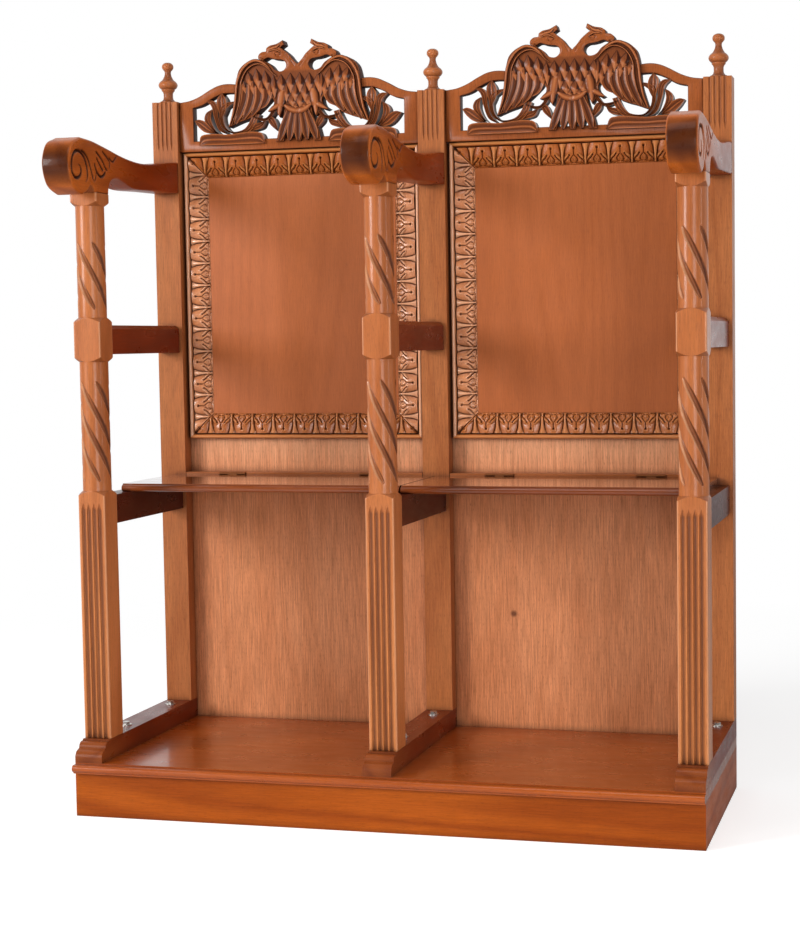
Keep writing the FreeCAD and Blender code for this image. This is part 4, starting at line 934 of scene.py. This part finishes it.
# what is laid on the eagle, in millimetres from the bay's middle and the crest's foot
eagleShape = {
    # peak, foot and half width of each lozenge
    "coverts": ((114, 166, 102, 128, 9.6), (93, 170, 87, 126, 10.2), (73, 165, 67, 121, 10.0),
                (54, 154, 51, 106, 9.4), (104, 151, 99, 116, 9.0), (84, 148, 78, 112, 9.4),
                (64, 142, 60, 104, 9.0), (124, 147, 117, 119, 7.4)),
    "scales": ((-37, 156, -36, 115, 10.4), (-16, 158, -15, 115, 10.6), (5, 158, 6, 115, 10.6),
               (26, 157, 28, 114, 10.6), (46, 155, 48, 115, 10.4), (-26, 136, -25, 97, 10.6),
               (-5, 136, -6, 96, 10.6), (16, 135, 17, 95, 10.6), (37, 134, 36, 96, 10.6),
               (-15, 115, -10, 84, 10.6), (7, 115, 5, 82, 10.8), (27, 114, 23, 83, 10.2),
               (-5, 97, -4, 80, 8.6), (16, 96, 15, 80, 8.6)),
    # half widths of a lozenge from peak to foot: shares of its own, between two blunt ends
    "lozengeEnd": 0.4, "lozengeWidths": (0.55, 1.0, 0.8, 0.4), "lozengeSteps": 15,
    # blades: half widths along them, how far before the eagle's front they start and end behind it,
    # form, points along them, and their centre lines with the tip or far end last
    "blades": (
        {"widths": (4.4, 6.2, 7.8, 8.0, 3.0), "before": 0.4, "back": 3, "form": "feather", "steps": 16,
         "lines": (((0, 78), (0, 50), (0, 17)),)},
        {"widths": (8.2, 8.8, 8.6, 7.4, 3.0), "before": 0.4, "back": 3, "form": "feather", "steps": 20,
         "lines": (((117, 138), (119, 110), (128, 84), (142, 56)),
                   ((102, 134), (103, 110), (110, 88), (123, 65)),
                   ((86, 132), (86, 109), (92, 90), (103, 73)),
                   ((69, 126), (69, 109), (74, 98), (85, 87)))},
        {"widths": (1.4, 3.0, 3.4, 3.4, 3.2, 3.0, 2.6, 1.0), "before": 1.0, "back": 3, "form": "dome",
         "steps": 44,
         "lines": (((54, 157), (64, 170), (76, 181), (92, 187), (106, 184), (119, 175), (128, 163),
                    (135, 147), (138, 130), (141, 104), (147, 76), (156, 51)),)},
        {"widths": (0.8, 1.5, 1.7, 1.7, 1.7, 1.6, 1.4, 0.7), "before": 1.6, "back": 3, "form": "slim",
         "steps": 44,
         "lines": (((46, 152), (56, 160), (66, 170), (79, 178), (92, 179), (105, 174), (115, 165),
                    (123, 151), (127, 137), (129, 112), (136, 84), (150, 54)),)},
        {"widths": (6.5, 9.8, 9.6, 8.2), "before": 1.5, "back": 3, "form": "dome", "steps": 14,
         "lines": (((33, 123), (36, 112), (38, 100), (40, 88)),)},
        {"widths": (6.0, 6.0, 4.6, 0.8), "before": 1.0, "back": 14, "form": "dome", "steps": 14,
         "lines": (((41, 92), (51, 87), (60, 82), (67, 79)), ((39, 92), (40, 84), (41, 76), (41, 67)))},
        {"widths": (4.4, 6.2, 7.6, 7.8, 3.0), "before": 0.5, "back": 3, "form": "feather", "steps": 16,
         "lines": (((10, 79), (15, 50), (20, 17)), ((19, 81), (30, 52), (42, 17)))},
        {"widths": (1.0, 4.6, 4.4, 3.4, 0.8), "before": -0.2, "back": 3, "form": "slim", "steps": 14,
         "lines": (((66, 207), (55, 211), (44, 214), (35, 223)),)},
        {"widths": (0.8, 2.0, 2.0, 0.8), "before": 1.4, "back": 3, "form": "dome", "steps": 12,
         "lines": (((64, 203), (54, 207), (44, 206), (34, 200)),)},
        {"widths": (2.6, 6.4, 7.2, 7.2), "before": 1.6, "back": 3, "form": "dome", "steps": 12,
         "lines": (((30, 91), (19, 83), (9, 79), (0, 78)),)},
    ),
    # the heads and necks: from this height over the next, within this half width, and not on the shoulders
    "headFrom": (160, 14), "headHalf": 96, "shoulder": (44, 6, 188), "round": (1.9, 3.2), "sunk": 1.0,
    "cuts": (
        {"line": ((86, 192), (76, 190), (64, 188), (54, 187)), "wide": 1.6, "deep": 2.4},
        {"line": ((83, 202), (74, 201), (68, 204)), "wide": 1.4, "deep": 1.6},
        {"line": ((36, 200), (40, 196.5), (46, 196), (50, 199)), "wide": 1.8, "deep": 2.6},
        {"line": ((36, 200), (41, 203), (47, 202.5), (50, 199)), "wide": 1.5, "deep": 2.2},
        {"line": ((30, 203), (22, 194), (13, 183), (5, 170)), "wide": 2.0, "deep": 1.8},
        {"line": ((52, 193), (44, 192), (34, 190), (25, 182)), "wide": 1.4, "deep": 1.3},
    ),
}
boardShape = {
    # the front edge's steps inwards and down, in shares of its ease; the eased edge, the sawn walls and the
    # sunk parts of the front get painted shade
    "edge": ((0.0, 1.0), (0.3, 0.35), (1.0, 0.0)), "edgeShade": 0.9, "shadeDepth": 2.4,
    "rearEase": 0.7, "wallShade": 1.0, "rearStain": 0.2, "clear": 0.6,
}
# the walls at both sides of a blade get painted shade
bladeShape = {"across": 9, "back": (1.0, 0.86, 0.14, 0.0), "bladeWallShade": (1.6, 0.2, 0.2, 1.6)}


def crestPlace(points, hand=1):
    # the thousandths multiplied by the half width and the height; a hand of -1 mirrors them
    return np.array(points, float) * [hand * crestShape["across"], crestShape["up"]]


def boardPart(loops, frontY, backY, ease, relief=None, lattice=0.0):
    # a sawn board seen from -Y: outline counter-clockwise in x and z, holes clockwise; the front is raised
    # by the relief, and walls run from it over the eased edge to the rear
    shape = boardShape
    loops = [counterClockwise(loops[0])] + [counterClockwise(hole)[::-1] for hole in loops[1:]]
    rows = [[inset(loop, ease * inwards) for loop in loops] for inwards, _ in shape["edge"]]
    front = rows[-1]
    inner = np.zeros((0, 2))
    if lattice:
        clear = lattice * shape["clear"]
        inner = latticePoints(front[0], lattice, clear)
        for hole in front[1:]:
            away, _ = lineDistance(inner, np.vstack([hole, hole[:1]]))
            inner = inner[~insideOf(inner, hole) & (away > clear)]
    places, faces = fillLoops(front, inner)
    total = sum(map(len, front))
    height = np.zeros(len(places))
    if relief:
        height[total:] = relief(places)[total:]
    # outlines, y and darkening of each ring, from the front edge to the rear: painted shade on the eased
    # edge and the walls
    rings = [(row, frontY + ease * down, shape["edgeShade"] * down)
             for (_, down), row in list(zip(shape["edge"], rows))[-2::-1]]
    rear = [inset(loop, shape["rearEase"]) for loop in loops]
    rings += [(rows[0], backY - shape["rearEase"], shape["wallShade"]), (rear, backY, shape["rearStain"])]
    coords = [np.stack([places[:, 0], frontY - height, places[:, 1]], -1)]
    # the sunk parts of the front get painted shade
    shades = [unit(-height / shape["shadeDepth"])]
    for row, y, stainAndShade in rings:
        coords.append(np.insert(np.vstack(row), 1, y, axis=1))
        shades.append(np.full(total, stainAndShade))
    starts = [0, *(len(places) + k * total for k in range(len(rings)))]
    walls, offset = [], 0
    for loop in loops:
        ring = np.append(np.arange(len(loop)), 0) + offset
        for upper, lower in zip(starts[:-1], starts[1:]):
            corners = [ring[:-1] + upper, ring[:-1] + lower, ring[1:] + lower, ring[1:] + upper]
            walls.append(np.stack(corners, -1))
        offset += len(loop)
    _, backFaces = fillLoops(rear, np.zeros((0, 2)))
    faceSets = [faces, np.vstack(walls), backFaces[:, ::-1] + starts[-1]]
    return np.vstack(coords), faceSets, np.concatenate(shades)


def surfacePart(edgeA, edgeB, frontY, backY, profile, shade):
    # a ruled surface between two edge lines, raised by the profile of the share along it and the place
    # across it, with walls and a back; its faces are turned so that the front looks to -Y
    share = np.linspace(0, 1, len(edgeA))[:, None]
    across = np.linspace(-1, 1, bladeShape["across"])[None]
    middle = (edgeA[:, None] * (1 - across[..., None]) + edgeB[:, None] * (1 + across[..., None])) / 2
    front = frontY - profile(share, across)
    top = np.concatenate([middle[..., :1], front[..., None], middle[..., 1:]], -1)
    edge = np.array(bladeShape["back"])[None, :, None]
    back = top[:, :1] * (1 - edge) + top[:, -1:] * edge
    back[..., 1] = backY
    ring = np.concatenate([top, back], 1)
    rows, columns = ring.shape[:2]
    faceSets = tubeFaces(rows, columns)
    # the profile's painted shade and highlight over the front, and painted shade on the walls
    recess = np.hstack([shade(share, across), np.tile(bladeShape["bladeWallShade"], (rows, 1))])
    run = (middle[1:] - middle[:-1]).mean((0, 1))
    if crossProduct(run, (edgeB - edgeA).mean(0)) < 0:
        faceSets = [faces[:, ::-1] for faces in faceSets]
    return ring.reshape(-1, 3), faceSets, recess.ravel()


def bladePart(line, widths, frontY, backY, profile, shade, count):
    # the same between both sides of a centre line, each at the half width from it, measured square to the
    # line; the half widths are spread evenly along it
    middle = smoothLine(line, count)
    run = np.gradient(middle, axis=0)
    run /= np.linalg.norm(run, axis=1)[:, None]
    half = np.interp(np.linspace(0, 1, count), np.linspace(0, 1, len(widths)), widths)[:, None]
    out = np.stack([-run[:, 1], run[:, 0]], -1) * half
    return surfacePart(middle - out, middle + out, frontY, backY, profile, shade)


def mirrored(part):
    # the part's mirror image across x = 0, with its faces turned over
    points, faceSets, recess = part
    return points * [-1, 1, 1], [faces[:, ::-1] for faces in faceSets], recess


def leafProfile(rim, vein):
    # hollow between raised rims, with a fine raised vein; lower towards both ends
    def profile(share, across):
        swell = unit(np.minimum(share * 6, (1 - share) * 4 + 0.35))
        return swell * (rim * np.abs(across) ** 1.8 + vein * bell(across, 0, 0.14))

    # painted shade in the hollow, painted highlight on the rims and the vein
    def shade(share, across):
        hollow = (1 - np.abs(across) ** 1.6) * (1 - bell(across, 0, 0.18))
        return hollow - 0.7 * (np.abs(across) > 0.85) - 0.4 * bell(across, 0, 0.12) + 0 * share
    return profile, shade


def domeProfile(high, edge=0.0, dark=0.6):
    # rounded over as an ellipse, with painted shade where it runs down to its neighbours and a painted
    # highlight on its crown; lower towards both ends
    def profile(share, across):
        swell = unit(np.minimum(share * 5 + 0.3, (1 - share) * 5 + 0.25))
        return swell * (edge + high * np.sqrt(unit(1 - across ** 2 * 0.96)))

    def shade(share, across):
        return dark * 1.5 * np.abs(across) ** 2.4 - 0.6 * bell(across, 0, 0.35) + 0 * share
    return profile, shade


def lozengeProfile(deep, tilt):
    # a pyramid with its peak below the middle, tilted so that its foot stands over its neighbours;
    # painted shade fills the upper left hollow and the foot's edges, a painted shadow, blackest, runs down
    # its right-hand edge, and the lower facets get a painted highlight
    def profile(share, across):
        rise = np.minimum(share / 0.6, (1 - share) / 0.4)
        return tilt * share + deep * rise * (1 - np.abs(across))

    def shade(share, across):
        upper = unit(1 - share / 0.55) ** 0.5
        left = 0.8 * upper * (across < 0.1)
        right = 2.2 * unit((across - 0.2) / 0.5) * (share < 0.6)
        foot = 0.8 * unit((np.abs(across) - 0.75) / 0.25)
        light = 0.8 * unit((share - 0.45) / 0.2) * (1 - np.abs(across))
        return np.clip(np.maximum(left + foot, right) - light, -0.7, 1.2)
    return profile, shade


def featherProfile(rim):
    # hollow between thin raised edges, with fine streaks as a cosine across it
    def profile(share, across):
        return rim * (np.abs(across) ** 2.4 * 0.8 + 0.2) + 0.25 * np.cos(across * 9.4) + 0 * share

    # painted shade in the hollow and its streaks, painted highlight on the raised edges
    def shade(share, across):
        hollow = 0.86 * (1 - across ** 2) + 0.22 * np.cos(across * 9.4 + 2.0)
        return hollow - 1.0 * (np.abs(across) > 0.9) + 0 * share
    return profile, shade


forms = {"leaf": leafProfile(3.4, 1.5), "dome": domeProfile(3.0), "slim": domeProfile(2.8, 0.3, 1.5),
         "lozenge": lozengeProfile(4.0, 1.4), "feather": featherProfile(2.6)}


def eagleRelief(places):
    # the heads and necks rise from the outline as 1 less a falling exponential, and their lines are cut
    # in; under the feathers the board is sunk
    shape = eagleShape
    x, z = np.abs(places[:, 0]), places[:, 1]
    both = np.stack([x, z], -1)
    outline = smoothRuns([crestPlace(run) for run in crestShape["eagle"]], 3.0)
    loop = smoothRuns([crestPlace(run) for run in crestShape["neckLoop"]], 3.0)
    away = np.minimum(lineDistance(both, outline)[0], lineDistance(both, np.vstack([loop, loop[:1]]))[0])
    low, over = shape["headFrom"]
    head = unit((z - low) / over) * (x < shape["headHalf"])
    aside, over, high = shape["shoulder"]
    head = unit(head - unit((x - aside) / over) * (z < high))
    rise, reach = shape["round"]
    rounded = rise * (1 - np.exp(-away / reach)) * head - shape["sunk"] * (1 - head)
    return rounded - gougeDepth(both, shape["cuts"])


def eagleParts(shape, laid):
    # the board with the two loops of the necks open, the lozenges, and the blades with their mirror images
    half = smoothRuns([crestPlace(run) for run in shape["eagle"]], shape["outlineStep"])
    outline = np.vstack([half, [[0, half[-1, 1]]], (half * [-1, 1])[::-1]])
    outline = outline[np.linalg.norm(outline - np.roll(outline, 1, 0), axis=1) > shape["shortest"]]
    holes = [smoothRuns([crestPlace(run, hand) for run in shape["neckLoop"]], shape["outlineStep"])
             for hand in (1, -1)]
    y = shape["eagleY"]
    parts = [boardPart([outline, *holes], y, shape["eagleBack"], shape["eagleEase"], eagleRelief,
                       shape["eagleLattice"])]
    end, count = laid["lozengeEnd"], laid["lozengeSteps"]
    for kind, hand in (("scales", 1), ("coverts", 1), ("coverts", -1)):
        for top, high, foot, low, half in laid[kind]:
            line = ((hand * top, high), (hand * (top + foot) / 2, (high + low) / 2), (hand * foot, low))
            widths = (end, *(half * share for share in laid["lozengeWidths"]), end)
            parts.append(bladePart(line, widths, y - 0.1, y + 3, *forms["lozenge"], count))
    for blade in laid["blades"]:
        for line in blade["lines"]:
            part = bladePart(line, blade["widths"], y - blade["before"], y + blade["back"],
                             *forms[blade["form"]], blade["steps"])
            # one that starts on the middle line is its own mirror image
            parts += [part, mirrored(part)] if line[0][0] else [part]
    return parts


def foliageParts(shape):
    # the board in one piece, arches, stiles and rail, and the leaves before it on both sides
    half = shape["across"] * 1000
    top = smoothLine(crestPlace(shape["archTop"]), shape["archTopSteps"])
    under = smoothLine(crestPlace(shape["archUnder"]), shape["archUnderSteps"])
    rightSide = np.vstack([[[half, 0.0], [half, top[0, 1]]], top, under, [[under[-1, 0], shape["rail"]]]])
    board = np.vstack([rightSide, (rightSide * [-1, 1])[::-1]])
    parts = [boardPart([board], shape["boardY"], shape["boardBack"], shape["foliageEase"])]
    for name, edges in shape["leaves"].items():
        count = shape["longLeafSteps"] if name in shape["longLeaves"] else shape["leafSteps"]
        edges = [smoothLine(crestPlace(edge), count) for edge in edges]
        part = surfacePart(*edges, shape["leafY"], shape["leafBack"], *forms["leaf"])
        parts += [part, mirrored(part)]
    return parts


foliageMade = foliageParts(crestShape)
eagleMade = eagleParts(crestShape, eagleShape)
for bay in bayX:
    placed = []
    for made, aside in ((foliageMade, 0.0), (eagleMade, crestShape["eagleAside"][bay])):
        placed += [(points + [bayX[bay] + aside, 0, crestShape["lower"]], faceSets, recess)
                   for points, faceSets, recess in made]
    makePiece("eagleCrest_" + bay, placed, "carvedWood", ["crest_" + bay], 42)
print("crests")
